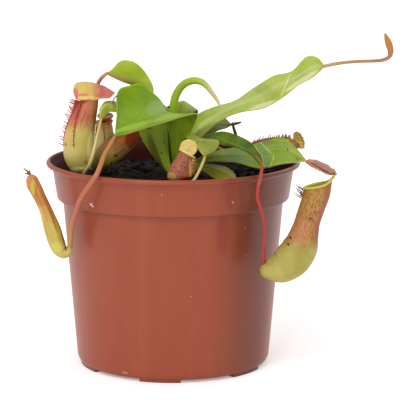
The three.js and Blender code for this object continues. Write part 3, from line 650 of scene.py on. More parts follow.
@dataclass(frozen=True)
class PotFinish:
    """Moulded terracotta plastic with scuffs and dust; a warm streak that is a painted dark reflection, a
    painted highlight band and glint, and painted shade on the right side, in the band's step and inside,
    where soil also clings.
    """

    name: str = "terracotta_plastic"
    body: Colour = srgb(146, 64, 36)
    # Lighter tone for the flow pattern, also used for the painted highlight band on the front.
    light: Colour = srgb(158, 76, 48)
    # Painted shade for the right side of the front.
    shade: Colour = srgb(102, 44, 24)
    # Near-black for painted shade: the inner wall, where soil also clings, the step where the band
    # starts, and darker towards the bottom.
    inner: Colour = srgb(54, 12, 4)
    dust: Colour = srgb(206, 168, 146)
    marks: tuple[Mark, ...] = (
        # These four spots paint the warm streak: a painted dark reflection, where the gloss shows no
        # white reflection.
        Spot(230.5, 192, 8.5, 24, -54, srgb(136, 48, 16), 0.7),
        Spot(231, 194, 5, 20, -54, srgb(126, 40, 10), 0.5),
        Spot(223.5, 236, 9, 26, -50, srgb(136, 48, 16), 0.7),
        Spot(223, 234, 5.5, 22, -50, srgb(126, 40, 10), 0.5),
        Stroke(89.5, 203, 94, 207, 2.2, -40, srgb(232, 200, 190), 0.8),
        Stroke(92.5, 202, 91, 205, 1.2, -40, srgb(226, 186, 172), 0.7),
        # A painted glint.
        Spot(233, 204.5, 1.1, 1.6, -54, srgb(196, 120, 100), 0.8),
        Spot(246, 232, 0.9, 0.9, -50, srgb(186, 122, 104), 0.7),
        Spot(143, 338, 1, 1, -50, srgb(110, 62, 46), 0.7),
        Spot(125, 375, 3.5, 1.2, -44, srgb(196, 140, 122), 0.6),
    )

    def make(self) -> bpy.types.Material:
        """Builds the material."""
        graph = Graph(self.name, Coat_Roughness=0.22, Specular_IOR_Level=0.25)
        spot = graph.place()
        x = graph.along("X", spot) * 1000.0
        y = graph.along("Y", spot) * 1000.0
        z = graph.along("Z", spot) * 1000.0
        cloud = graph.speckle(spot, 40, 4)
        grain = graph.speckle(spot, 2600, 2)
        flow = graph.speckle(graph.vector(x * 0.05, y * 0.05, z * 0.008), 4, 3)
        front = y.rise(-5.0, -25.0)
        away = (x * x + y * y) ** 0.5
        low_wall = (away - z * 0.0855).rise(45.0, 44.7) * z.rise(2.4, 3.0) * z.rise(79.6, 79.2)
        band_wall = (away - z * 0.15).rise(42.5, 42.1) * z.rise(79.5, 80.0)
        rim_wall = (away - z * 0.545).rise(5.5, 5.1) * z.rise(93.2, 93.8)
        within = low_wall.greater(band_wall).greater(rim_wall)
        scratch = graph.speckle(graph.vector(x * 0.9, y * 0.9, z * 0.16), 1.4, 2)
        scuffs = scratch.band(0.5, 0.006) * graph.speckle(spot, 22, 2).rise(0.55, 0.7)
        dots = graph.cells(spot, 150).rise(0.06, 0.03) * graph.speckle(spot, 35, 2).rise(0.5, 0.6)
        layers = [mark.layer(graph, spot) for mark in self.marks]
        colour = graph.layers(
            self.body,
            (flow.rise(0.45, 0.7) * 0.25, self.light),
            (cloud.rise(0.55, 0.75) * 0.12, self.light),
            # Painted highlight: a lighter upright band on the front, left of the middle.
            (x.band(-14.0, 5.0) * front * 0.35, self.light),
            # Painted shade over the right side of the front.
            (x.rise(14.0, 40.0) * front * 0.85, self.shade),
            *((share * front, shown) for share, shown in layers),
            # Painted shade in the step where the band starts, inside and out.
            (z.band(79.4, 0.5) * 0.45, self.inner),
            (scuffs * 0.35, self.dust),
            (dots * 0.5, self.dust),
            (z.rise(5.0, 0.5) * 0.25, self.inner),
            # The inner wall: painted shade, with some soil clinging to it.
            (within * 0.95, self.inner),
        )
        graph.set(
            Base_Color=colour,
            Coat_Weight=(1.0 - within) * 0.2,
            Roughness=0.34 + grain * 0.1 + cloud * 0.1 + scuffs * 0.25 + within * 0.4,
            Normal=graph.relief(grain * 0.4 + flow * 0.4 + scuffs, 0.00006),
        )
        return graph.material


@dataclass(frozen=True)
class PeatFinish:
    """Dark moist peat with fibres and pale crumbs."""

    name: str = "peat"
    ground: Colour = srgb(24, 16, 12)
    fibre: Colour = srgb(74, 48, 30)
    grit: Colour = srgb(150, 134, 116)

    def make(self) -> bpy.types.Material:
        """Builds the material."""
        graph = Graph(self.name, Specular_IOR_Level=0.15)
        spot = graph.place()
        lumps = graph.speckle(spot, 420, 5)
        fibres = graph.cells(graph.node("VectorMath", {"operation": "MULTIPLY"},
                                        {0: spot, 1: (1.0, 2.4, 1.0)}), 520)
        grit = graph.cells(spot, 340).rise(0.16, 0.09) * graph.speckle(spot, 90, 2).rise(0.58, 0.66)
        graph.set(
            Base_Color=graph.layers(
                self.ground,
                (lumps.rise(0.5, 0.75) * 0.55, self.fibre),
                (fibres.rise(0.2, 0.08) * 0.4, self.fibre),
                (grit * 0.7, self.grit),
            ),
            Roughness=0.72 + lumps * 0.28,
            Normal=graph.relief(lumps + fibres * 0.4, 0.0007),
        )
        return graph.material


@dataclass(frozen=True)
class BarkFinish:
    """The short woody stem and its roots."""

    name: str = "woody_stem"
    ground: Colour = srgb(98, 78, 40)
    crack: Colour = srgb(48, 34, 18)

    def make(self) -> bpy.types.Material:
        """Builds the material."""
        graph = Graph(self.name, Roughness=0.8)
        spot = graph.place()
        grain = graph.speckle(
            graph.node("VectorMath", {"operation": "MULTIPLY"}, {0: spot, 1: (1.0, 1.0, 0.25)}),
            900, 5)
        graph.set(
            Base_Color=graph.mix(grain.rise(0.42, 0.62), self.crack, self.ground),
            Normal=graph.relief(grain, 0.0004),
        )
        return graph.material


@dataclass(frozen=True)
class FloorFinish:
    """The plain pale floor."""

    name: str = "pale_floor"

    def make(self) -> bpy.types.Material:
        """Builds the material."""
        white = (1.0, 1.0, 1.0, 1.0)
        return Graph(
            self.name, Base_Color=(0.9, 0.9, 0.9, 1.0), Roughness=0.9,
            Emission_Color=white, Emission_Strength=0.3,
        ).material


@lru_cache(maxsize=None)
def material_of(finish: object) -> bpy.types.Material:
    """The material of a finish, made once."""
    return finish.make()


# Curves and tables of points


def spline(points: Sequence[Vector], share: float) -> Vector:
    """A point on the centripetal curve through given points.

    Args:
        points: The points that the curve passes through.
        share: Place from 0 at the first point to 1 at the last.

    Returns:
        The point on the curve.
    """
    last = len(points) - 1
    place = min(max(share, 0.0), 1.0) * last
    low = min(int(place), last - 1)
    weight = place - low
    p1, p2 = points[low], points[low + 1]
    p0 = points[low - 1] if low > 0 else 2 * p1 - p2
    p3 = points[low + 2] if low + 2 <= last else 2 * p2 - p1
    d1 = (p2 - p1).length ** 0.5 or 1.0
    d0 = (p1 - p0).length ** 0.5 or d1
    d2 = (p3 - p2).length ** 0.5 or d1
    leave = ((p1 - p0) / d0 - (p2 - p0) / (d0 + d1) + (p2 - p1) / d1) * d1
    arrive = ((p2 - p1) / d1 - (p3 - p1) / (d1 + d2) + (p3 - p2) / d2) * d1
    square = 3 * (p2 - p1) - 2 * leave - arrive
    cube = 2 * (p1 - p2) + leave + arrive
    return p1 + leave * weight + square * weight**2 + cube * weight**3


def value_along(values: Sequence[float], share: float) -> float:
    """Straight-line value at a share along an evenly spaced list."""
    place = min(max(share, 0.0), 1.0) * (len(values) - 1)
    low = min(int(place), len(values) - 2)
    return values[low] + (values[low + 1] - values[low]) * (place - low)


def smooth_value(values: Sequence[float], share: float) -> float:
    """Smooth value at a share along an evenly spaced list."""
    line = [Vector((value, 0, 0)) for value in values]
    return spline(line, share).x


def tangent(points: Sequence[Vector], share: float) -> Vector:
    """The curve's direction at a share along it."""
    step = 0.004
    ahead = spline(points, min(share + step, 1.0))
    behind = spline(points, max(share - step, 0.0))
    return (ahead - behind).normalized()


def blade_table(stations: Stations, rows: int, columns: int, ruffle: float, seed: int) -> Table:
    """Points over a blade given by its cross lines.

    Args:
        stations: Cross lines from base to tip, each from the far edge to the near edge.
        rows: Steps from base to tip.
        columns: Steps across.
        ruffle: Height of the soft waves along both edges, in millimetres.
        seed: Start of the waves' pattern.

    Returns:
        Rows of points in metres.
    """
    rails = [[Vector(station[k]) for station in stations] for k in range(len(stations[0]))]
    table = []
    for i in range(rows + 1):
        line = [spline(rail, i / rows) for rail in rails]
        table.append([spline(line, j / columns) for j in range(columns + 1)])
    waved = []
    for i, row in enumerate(table):
        ahead, behind = table[min(i + 1, rows)], table[max(i - 1, 0)]
        line = []
        for j, point in enumerate(row):
            over = row[min(j + 1, columns)] - row[max(j - 1, 0)]
            up = over.cross(ahead[j] - behind[j]).normalized()
            edge = abs(2 * j / columns - 1) ** 2
            swell = math.sin(math.pi * i / rows) * edge
            wave = noise.noise(Vector((6.0 * i / rows, 1.7 * j / columns, seed)))
            line.append((point + up * (ruffle * 2.2 * wave * swell)) * MM)
        waved.append(line)
    return waved


def tube_table(points: Sequence[Point], rings: int, sides: int) -> Table:
    """Points over a round stalk with rounded ends.

    Args:
        points: Route points in millimetres, each with its radius as a fourth number.
        rings: Steps along the stalk.
        sides: Steps round it.

    Returns:
        Rings of points in metres; the first and the last ring are a single point each.
    """
    route = [Vector(point[:3]) for point in points]
    radii = [point[3] for point in points]
    length = sum((b - a).length for a, b in zip(route, route[1:]))
    side = tangent(route, 0.0).orthogonal().normalized()
    table = []
    for i in range(rings + 1):
        share = i / rings
        along = tangent(route, share)
        side = (side - along * side.dot(along)).normalized()
        third = along.cross(side)
        radius = value_along(radii, share)
        reach = min(share, 1 - share) * length
        if reach < radius:
            radius *= math.sqrt(max(0.0, 1 - (1 - reach / radius) ** 2))
        centre = spline(route, share)
        ring = []
        for j in range(sides + 1):
            turn = 2 * math.pi * j / sides
            out = side * math.cos(turn) + third * math.sin(turn)
            ring.append((centre + out * radius) * MM)
        table.append(ring)
    return table


# Work on meshes


def only(piece: bpy.types.Object) -> None:
    """Makes one object the only one that is selected and active."""
    bpy.ops.object.select_all(action="DESELECT")
    piece.select_set(True)
    bpy.context.view_layer.objects.active = piece


def apply_all(piece: bpy.types.Object) -> None:
    """Applies every modifier of a piece."""
    only(piece)
    for modifier in list(piece.modifiers):
        bpy.ops.object.modifier_apply(modifier=modifier.name)


def close_seams(piece: bpy.types.Object) -> None:
    """Welds the seam and poles of a wrapped sheet and turns its faces outwards."""
    only(piece)
    bpy.ops.object.mode_set(mode="EDIT")
    bpy.ops.mesh.select_all(action="SELECT")
    bpy.ops.mesh.remove_doubles(threshold=2e-6)
    bpy.ops.mesh.normals_make_consistent(inside=False)
    bpy.ops.object.mode_set(mode="OBJECT")


def sheet_piece(name: str, table: Table) -> bpy.types.Object:
    """Lays a grid of faces over a table of points.

    Args:
        name: The new piece's name.
        table: Rows of points, each with the same number of points.

    Returns:
        The new piece, with a map that runs across in U and along in V.
    """
    rows, columns = len(table) - 1, len(table[0]) - 1
    bpy.ops.object.select_all(action="DESELECT")
    bpy.ops.mesh.primitive_grid_add(
        x_subdivisions=columns, y_subdivisions=rows, size=1, calc_uvs=True
    )
    piece = bpy.context.active_object
    piece.name = name
    piece.data.name = name
    for vertex in piece.data.vertices:
        i, j = round((vertex.co.y + 0.5) * rows), round((vertex.co.x + 0.5) * columns)
        vertex.co = table[i][j]
    return piece


def smooth(piece: bpy.types.Object, degrees: float = 50) -> None:
    """Shades a piece smooth except over edges sharper than the angle."""
    only(piece)
    bpy.ops.object.shade_smooth_by_angle(angle=math.radians(degrees))


def tube_piece(name: str, points: Sequence[Point], rings: int, sides: int) -> bpy.types.Object:
    """A closed round stalk along route points."""
    piece = sheet_piece(name, tube_table(points, rings, sides))
    close_seams(piece)
    smooth(piece)
    return piece


def leaf_piece(
    name: str, table: Table, thickness: float, rib: float, rib_width: float
) -> bpy.types.Object:
    """A thin blade with a thicker midrib, with its under face in a second material slot.

    Args:
        name: The new piece's name.
        table: Points over the blade.
        thickness: Thickness at the edges, in millimetres.
        rib: Thickness over the midrib, in millimetres.
        rib_width: Half width of the midrib as a share of the half blade.

    Returns:
        The new piece.
    """
    columns = len(table[0]) - 1
    piece = sheet_piece(name, table)
    group = piece.vertex_groups.new(name="thick")
    for vertex in piece.data.vertices:
        group.add([vertex.index], 0.0, "REPLACE")
    places = {tuple(round(c, 7) for c in p): j for row in table for j, p in enumerate(row)}
    for vertex in piece.data.vertices:
        j = places[tuple(round(c, 7) for c in vertex.co)]
        near = max(0.0, 1 - abs(2 * j / columns - 1) / rib_width)
        group.add([vertex.index], thickness / rib + (1 - thickness / rib) * near, "REPLACE")
    wall = piece.modifiers.new("wall", "SOLIDIFY")
    wall.thickness = rib * MM
    wall.offset = 0.0
    wall.vertex_group = "thick"
    wall.use_even_offset = True
    wall.use_quality_normals = True
    wall.material_offset = 1
    apply_all(piece)
    only(piece)
    bpy.ops.object.vertex_group_remove(all=True)
    smooth(piece, 60)
    return piece


def joined(name: str, pieces: Sequence[bpy.types.Object]) -> bpy.types.Object:
    """Joins pieces into one object.

    Args:
        name: The joined piece's name.
        pieces: What is joined; the first one takes in the others.

    Returns:
        The joined piece.
    """
    bpy.ops.object.select_all(action="DESELECT")
    for piece in pieces:
        piece.select_set(True)
    bpy.context.view_layer.objects.active = pieces[0]
    bpy.ops.object.join()
    whole = bpy.context.active_object
    whole.name = name
    whole.data.name = name
    return whole


def copies(template: bpy.types.Object, places: Sequence[Matrix]) -> list[bpy.types.Object]:
    """Copies of a template, each with its own mesh at its own place."""
    made = []
    for place in places:
        twin = template.copy()
        twin.data = template.data.copy()
        twin.data.transform(place)
        bpy.context.collection.objects.link(twin)
        made.append(twin)
    return made


def dress(piece: bpy.types.Object, *materials: bpy.types.Material) -> None:
    """Gives a piece its materials, slot by slot."""
    piece.data.materials.clear()
    for material in materials:
        piece.data.materials.append(material)


def stand_for(piece: bpy.types.Object, slot: Slot, *nodes: str) -> None:
    """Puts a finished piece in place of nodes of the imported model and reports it."""
    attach(piece, "root")
    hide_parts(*nodes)
    log.info("%s: %d faces", piece.name, len(piece.data.polygons))


# The pot, the peat and the stem


@dataclass
class Pot:
    """A nursery pot turned from one profile, with feet and drain holes."""

    height: float = 97.3
    steps: int = 144
    feet: int = 6
    first_foot: float = -98.0
    holes: int = 8
    hole_radius: float = 3.0
    hole_ring: float = 30.0
    outline: Sequence[Sequence[float]] = (
        (0, 0), (14, 0), (15, 0.9), (43.2, 0.9), (45, 1.8), (45.8, 3.7), (52.2, 79.1),
        (54.3, 79.3), (54.9, 79.9), (57, 94.1), (58, 94.9), (59.7, 95.1), (60, 96.2),
        (59.2, 97.3), (57.6, 96.9), (55.8, 93.6), (53.7, 80.7), (51, 78.7), (44.6, 4.5),
        (42.4, 2.1), (0, 2.1),
    )

    def rounded(self) -> list[Vector]:
        """The profile with every corner softened by a small arc."""
        corners = [Vector((x, 0.0, z)) for x, z in self.outline]
        line = [corners[0]]
        for before, here, after in zip(corners, corners[1:], corners[2:]):
            back, on = before - here, after - here
            cut = min(0.45, 0.4 * back.length, 0.4 * on.length)
            start, stop = here + back.normalized() * cut, here + on.normalized() * cut
            for share in (0.0, 0.33, 0.67, 1.0):
                line.append(start.lerp(here, share).lerp(here.lerp(stop, share), share))
        return [*line, corners[-1]]

    def shell(self) -> bpy.types.Object:
        """Spins the profile round the axis."""
        line = self.rounded()
        bpy.ops.object.select_all(action="DESELECT")
        bpy.ops.mesh.primitive_circle_add(vertices=len(line), radius=1, fill_type="NOTHING")
        shell = bpy.context.active_object
        for vertex, point in zip(shell.data.vertices, line):
            vertex.co = point * MM
        ends = {0, len(line) - 1}
        for edge in shell.data.edges:
            edge.select = set(edge.vertices) == ends
        only(shell)
        bpy.ops.object.mode_set(mode="EDIT")
        bpy.ops.mesh.select_mode(type="EDGE")
        bpy.ops.object.mode_set(mode="OBJECT")
        for edge in shell.data.edges:
            edge.select = set(edge.vertices) == ends
        bpy.ops.object.mode_set(mode="EDIT")
        bpy.ops.mesh.delete(type="EDGE")
        bpy.ops.mesh.select_all(action="SELECT")
        bpy.ops.mesh.spin(
            steps=self.steps, angle=2 * math.pi, center=(0, 0, 0), axis=(0, 0, 1)
        )
        bpy.ops.mesh.select_all(action="SELECT")
        bpy.ops.mesh.remove_doubles(threshold=2e-6)
        bpy.ops.mesh.normals_make_consistent(inside=False)
        bpy.ops.object.mode_set(mode="OBJECT")
        return shell

    def cutters(self) -> bpy.types.Object:
        """The drills for the drain holes, joined."""
        drills = []
        for i in range(self.holes):
            turn = 2 * math.pi * (i + 0.5) / self.holes
            spot = (self.hole_ring * MM * math.cos(turn), self.hole_ring * MM * math.sin(turn), 0.001)
            bpy.ops.object.select_all(action="DESELECT")
            bpy.ops.mesh.primitive_cylinder_add(
                vertices=32, radius=self.hole_radius * MM, depth=0.008, location=spot
            )
            drills.append(bpy.context.active_object)
        return joined("drills", drills)

    def foot(self, middle: float) -> bpy.types.Object:
        """One low foot under the rim."""
        rows, half = 12, math.radians(12.5)
        table = []
        for i in range(rows + 1):
            turn = middle - half + 2 * half * i / rows
            table.append([
                Vector((radius * math.cos(turn), radius * math.sin(turn), 0.0)) * MM
                for radius in (38.0, 44.4)
            ])
        foot = sheet_piece("foot", table)
        only(foot)
        bpy.ops.object.mode_set(mode="EDIT")
        bpy.ops.mesh.select_all(action="SELECT")
        bpy.ops.mesh.extrude_region_move(TRANSFORM_OT_translate={"value": (0, 0, 0.0015)})
        bpy.ops.mesh.select_all(action="SELECT")
        bpy.ops.mesh.normals_make_consistent(inside=False)
        bpy.ops.object.mode_set(mode="OBJECT")
        return foot

    def build(self) -> bpy.types.Object:
        """Makes the whole pot."""
        pot = self.shell()
        drills = self.cutters()
        feet = joined("feet", [
            self.foot(math.radians(self.first_foot + 360 / self.feet * i))
            for i in range(self.feet)
        ])
        for tool, work in ((feet, "UNION"), (drills, "DIFFERENCE")):
            cut = pot.modifiers.new("cut", "BOOLEAN")
            cut.operation = work
            cut.solver = "EXACT"
            cut.object = tool
            apply_all(pot)
            bpy.data.objects.remove(tool)
        pot.name = "fine_pot"
        pot.data.name = pot.name
        smooth(pot, 38)
        dress(pot, material_of(PotFinish()))
        stand_for(pot, Slot.PLASTIC, "pot")
        return pot


@dataclass
class Peat:
    """The peat that fills the pot, with a crumbly top."""

    level: float = 89.2
    top_radius: float = 53.35
    columns: int = 120
    top_rows: int = 34
    crumbs: int = 420
    seed: int = 5

    def table(self) -> Table:
        """Points from the middle of the underside, up the wall and over the top."""
        walls = ((0.0, 2.45), (30.0, 2.45), (41.2, 2.45), (44.2, 5.45), (46.4, 30.0),
                 (48.6, 56.0), (50.6, 78.7), (53.1, 81.5), (53.2, 85.0), (self.top_radius, 88.4))
        rows = [(radius, height, 0.0) for radius, height in walls]
        for i in range(1, self.top_rows + 1):
            rows.append((self.top_radius * (1 - i / self.top_rows), self.level, 1.0))
        table = []
        for radius, height, rough in rows:
            ring = []
            for j in range(self.columns + 1):
                turn = 2 * math.pi * (j % self.columns) / self.columns
                x, y = radius * math.cos(turn), radius * math.sin(turn)
                lump = noise.noise(Vector((x, y, 3.0)) * 0.16) * 1.5
                lump += noise.noise(Vector((x, y, 9.0)) * 0.55) * 0.9
                lump += noise.noise(Vector((x, y, 1.0)) * 1.4) * 0.35
                ring.append(Vector((x, y, height + rough * (lump - 0.2))) * MM)
            table.append(ring)
        return table

    def crumb_field(self) -> bpy.types.Object:
        """Crumbs and bits of fibre strewn over the top."""
        draw = random.Random(self.seed)
        bpy.ops.object.select_all(action="DESELECT")
        bpy.ops.mesh.primitive_ico_sphere_add(subdivisions=2, radius=1.0)
        template = bpy.context.active_object
        for vertex in template.data.vertices:
            vertex.co *= 1 + 0.45 * noise.noise(vertex.co * 1.7)
        places = []
        for _ in range(self.crumbs):
            reach = (self.top_radius - 1.6) * math.sqrt(draw.random())
            turn = draw.uniform(0, 2 * math.pi)
            spot = Vector((reach * math.cos(turn), reach * math.sin(turn), self.level + 0.2)) * MM
            size = draw.uniform(0.35, 1.25) * MM
            long = draw.choice((1.0, 1.0, 1.4, 2.6))
            places.append(
                Matrix.Translation(spot)
                @ Matrix.Rotation(draw.uniform(0, math.pi), 4, "Z")
                @ Matrix.Rotation(draw.uniform(-0.5, 0.5), 4, "Y")
                @ Matrix.Diagonal((size * long, size / long**0.5, size * 0.7 / long**0.3, 1))
            )
        field_piece = joined("crumbs", copies(template, places))
        bpy.data.objects.remove(template)
        return field_piece

    def build(self) -> bpy.types.Object:
        """Makes the peat with its crumbs."""
        body = sheet_piece("peat_body", self.table())
        close_seams(body)
        peat = joined("fine_soil", [body, self.crumb_field()])
        smooth(peat, 60)
        dress(peat, material_of(PeatFinish()))
        stand_for(peat, Slot.PEAT, "soil")
        return peat


@dataclass
class Stem:
    """The short stem with its roots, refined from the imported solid."""

    def build(self, node: bpy.types.Object) -> bpy.types.Object:
        """Makes the stem from a merged copy of its node."""
        stem = node.copy()
        stem.data = node.data.copy()
        bpy.context.collection.objects.link(stem)
        stem.name = "fine_stem_with_roots"
        close_seams(stem)
        finer = stem.modifiers.new("finer", "SUBSURF")
        finer.levels = 2
        apply_all(stem)
        for vertex in stem.data.vertices:
            place = vertex.co * 1000
            rough = noise.noise(Vector((place.x, place.y, place.z * 0.4)) * 1.1)
            vertex.co += vertex.normal * rough * 0.00018
        smooth(stem, 70)
        dress(stem, material_of(BarkFinish()))
        stand_for(stem, Slot.WOOD, "stem_with_roots")
        return stem


# Leaves and stalks


@dataclass
class Leaf:
    """A strap leaf through its cross lines."""

    node: str
    slot: Slot
    stations: Stations
    top: LeafFinish
    under: LeafFinish
    turned: bool = False
    rows: int = 54
    columns: int = 18
    ruffle: float = 0.4
    seed: int = 1

    def build(self) -> bpy.types.Object:
        """Makes the blade and gives it both faces."""
        table = blade_table(self.stations, self.rows, self.columns, self.ruffle, self.seed)
        leaf = leaf_piece("fine_" + self.node, table, 0.6, 1.25, 0.22)
        faces = (self.under, self.top) if self.turned else (self.top, self.under)
        dress(leaf, *(material_of(face) for face in faces))
        stand_for(leaf, self.slot, self.node)
        return leaf


@dataclass
class Stalk:
    """A tendril or another round stalk, made of one or more routes."""

    node: str
    slot: Slot
    routes: Sequence[Route]
    finish: StalkFinish
    rings: int = 72
    sides: int = 20
    reach_back: float = 1.0
    reach_on: float = 1.4

    def build(self) -> bpy.types.Object:
        """Makes the stalk, drawn a little into what it grows from and what it carries."""
        pieces = []
        for route in self.routes:
            first, second = Vector(route[0][:3]), Vector(route[1][:3])
            back = first - (second - first).normalized() * self.reach_back
            longer = [(*back, route[0][3] * 0.9), *route]
            if self.reach_on:
                near, last = Vector(route[-2][:3]), Vector(route[-1][:3])
                on = last + (last - near).normalized() * self.reach_on
                longer.append((*on, route[-1][3]))
            pieces.append(tube_piece("strand", longer, self.rings, self.sides))
        stalk = joined("fine_" + self.node, pieces)
        dress(stalk, material_of(self.finish))
        stand_for(stalk, self.slot, self.node)
        return stalk


@dataclass
class RolledLeaf:
    """The youngest leaf, still rolled into a tube with a free edge."""

    route: Route
    finish: StalkFinish
    rings: int = 90
    sides: int = 32

    def table(self) -> Table:
        """Rings that grow slightly round the roll, closed by a small step."""
        table = tube_table(self.route, self.rings, self.sides)
        rolled = []
        for i, ring in enumerate(table):
            middle = sum(ring[:-1], Vector()) / self.sides
            shrink = 0.24 * math.sin(math.pi * min(1.0, 1.15 * i / self.rings)) ** 0.5
            row = []
            for j in range(self.sides + 1):
                share = 1 - shrink * (1 - j / self.sides) ** 3
                row.append(middle + (ring[j] - middle) * share)
            rolled.append([*row, row[0].copy()])
        return rolled

    def build(self) -> bpy.types.Object:
        """Makes the roll."""
        roll = sheet_piece("fine_young_leaf_rolled", self.table())
        close_seams(roll)
        smooth(roll, 55)
        dress(roll, material_of(self.finish))
        stand_for(roll, Slot.GREEN, "young_leaf_rolled")
        return roll


# Pitchers and lids


@dataclass(frozen=True)
class Wing:
    """A narrow fringed wing: its angle, its stretch of the cup and its bristles."""

    at: float
    start: float
    end: float
    height: float
    bristles: int
    bristle: float
    thick: float = 1.0
    twist: float = 0.0
    swell: Sequence[float] = (0.3, 0.73, 0.97, 0.97, 0.73, 0.3)

    def turn(self, way: float) -> float:
        """Its angle in radians at a share of its length."""
        return math.radians(self.at + self.twist * way)

    def rim(self, way: float) -> float:
        """Its height at a share of its length."""
        return self.height * max(smooth_value(self.swell, way), 0.0)


@dataclass
class Cup:
    """A hollow pitcher with a rolled lip and fringed wings."""

    node: str
    slot: Slot
    spine: Route
    facing: Point
    finish: CupFinish
    fringe: BristleFinish
    wings: Sequence[Wing]
    slant: float
    lip: float
    deep: float = 1.0
    peak: float = 0.0
    wall: float = 0.6
    seed: int = 1
    columns: int = 72
    outer_rows: int = 56
    lip_rows: int = 8
    inner_rows: int = 26
    carry_steps: int = 24
    mouth_from: float = 0.6
    inner_reach: float = 0.68
    inner_pole: float = 0.3
    to_spine: float = -99.0
    unevenness: float = 0.05
    frames: dict[float, Frame] = field(default_factory=dict)

    def frame(self, share: float) -> Frame:
        """Centre, direction, front, side and radius at a share of the spine.

        The front is the facing one over the upper half and is carried down from there
        without a twist.
        """
        if share not in self.frames:
            route = [Vector(point[:3]) for point in self.spine]
            front, top = Vector(self.facing), max(share, 0.5)
            for step in range(self.carry_steps + 1):
                along = tangent(route, top + (share - top) * step / self.carry_steps)
                front = (front - along * front.dot(along)).normalized()
            radius = smooth_value([point[3] for point in self.spine], share)
            self.frames[share] = (spline(route, share), along, front, along.cross(front), radius)
        return self.frames[share]

    def point(self, share: float, turn: float, offset: float, lift: float = 0.0) -> Vector:
        """A point off the skin, in millimetres.

        Args:
            share: Place along the spine.
            turn: Angle round the cup from its front, in radians.
            offset: Distance out from the skin.
            lift: Distance along the spine.

        Returns:
            The point.
        """
        centre, along, front, side, radius = self.frame(share)
        reach = max(radius + offset, 0.0)
        near_mouth = max(0.0, (share - self.mouth_from) / (1 - self.mouth_from))
        back = max(0.0, -math.cos(turn))
        rise = self.peak * back**4 - self.slant * math.cos(turn)
        place = centre + front * reach * self.deep * math.cos(turn) + side * reach * math.sin(turn)
        return place + along * (rise * near_mouth * near_mouth + lift)

    def table(self) -> Table:
        """Rings from the base up the outside, over the lip and down the inside."""
        curl = ((0.35, 0.06), (0.85, 0.2), (1.0, 0.5), (0.85, 0.85), (0.45, 1.02),
                (0.0, 1.0), (-0.45, 0.8), (-0.8, 0.4))
        rows = [(0.0, self.to_spine, 0.0, 0.0)]
        rows += [(i / (self.outer_rows - 1), 0.0, 0.0, 0.0) for i in range(self.outer_rows)]
        rows += [(1.0, self.lip * out, up, 0.05) for out, up in curl[: self.lip_rows]]
        for i in range(self.inner_rows):
            share = 1.0 - self.inner_reach * i / (self.inner_rows - 1)
            rows.append((share, -self.wall - 0.1, 0.0, 0.0))
        rows.append((self.inner_pole, self.to_spine, 0.0, 0.0))
        table = []
        for share, offset, lift, ridge in rows:
            ring = []
            for j in range(self.columns + 1):
                turn = 2 * math.pi * j / self.columns + math.pi
                rib = ridge * math.cos(math.pi * j)
                bump = noise.noise(Vector((math.cos(turn), math.sin(turn), share * 7)) * 2)
                swell = self.unevenness * bump
                ring.append(self.point(share, turn, offset + rib + swell, lift) * MM)
            table.append(ring)
        return table

    def wing_piece(self, wing: Wing) -> bpy.types.Object:
        """The thin fin of one wing, its rim drawn up to each bristle."""
        rows = 8 * max(wing.bristles, 4)
        table = []
        for i in range(rows + 1):
            way = i / rows
            share = wing.start + (wing.end - wing.start) * way
            rim = wing.rim(way) * (0.88 + 0.12 * math.cos(2 * math.pi * i / 4))
            table.append([
                self.point(share, wing.turn(way), -0.3 + (rim + 0.3) * k / 3) * MM
                for k in range(4)
            ])
        fin = sheet_piece("fin", table)
        wall = fin.modifiers.new("wall", "SOLIDIFY")
        wall.thickness = 0.35 * MM
        wall.offset = 0.0
        apply_all(fin)
        smooth(fin, 50)
        return fin

    def bristles(self, wing: Wing, draw: random.Random) -> list[bpy.types.Object]:
        """The bristles along one wing's rim."""
        route = ((0, 0, 0, 0.2), (0.03, 0, 0.35, 0.13), (0.1, 0, 0.7, 0.09), (0.24, 0, 1.0, 0.04))
        template = tube_piece("bristle", route, 10, 6)
        for vertex in template.data.vertices:
            vertex.co *= 1000
        places = []
        count = 2 * wing.bristles
        for i in range(count):
            way = (i + draw.uniform(0.3, 0.7)) / count
            share = wing.start + (wing.end - wing.start) * way
            turn = wing.turn(way) + draw.uniform(-0.06, 0.06)
            _, along, _, side, _ = self.frame(share)
            root = self.point(share, turn, wing.rim(way) * 0.6)
            tip = self.point(share, turn, wing.rim(way) + wing.bristle * draw.uniform(0.55, 1.1))
            tip += along * wing.bristle * draw.uniform(0.2, 0.7)
            tip += side * wing.bristle * draw.uniform(-0.25, 0.25)
            up = tip - root
            across = up.orthogonal().normalized()
            axes = Matrix((across, up.normalized().cross(across), up.normalized())).transposed()
            size = Matrix.Diagonal((wing.thick, wing.thick, up.length))
            places.append(Matrix.Translation(root * MM) @ ((axes @ size) * MM).to_4x4())
            places[-1][3][3] = 1.0
        made = copies(template, places)
        bpy.data.objects.remove(template)
        return made

    def build(self) -> bpy.types.Object:
        """Makes the cup with its wings and bristles."""
        draw = random.Random(self.seed)
        skin = sheet_piece("skin", self.table())
        close_seams(skin)
        smooth(skin, 60)
        dress(skin, material_of(self.finish))
        trim = []
        for wing in self.wings:
            made = [self.wing_piece(wing)]
            if wing.bristles:
                made += self.bristles(wing, draw)
            for piece in made:
                dress(piece, material_of(self.fringe if wing.bristles else PLAIN_FRINGE))
            trim += made
        cup = joined("fine_" + self.node, [skin, *trim])
        stand_for(cup, self.slot, self.node)
        return cup


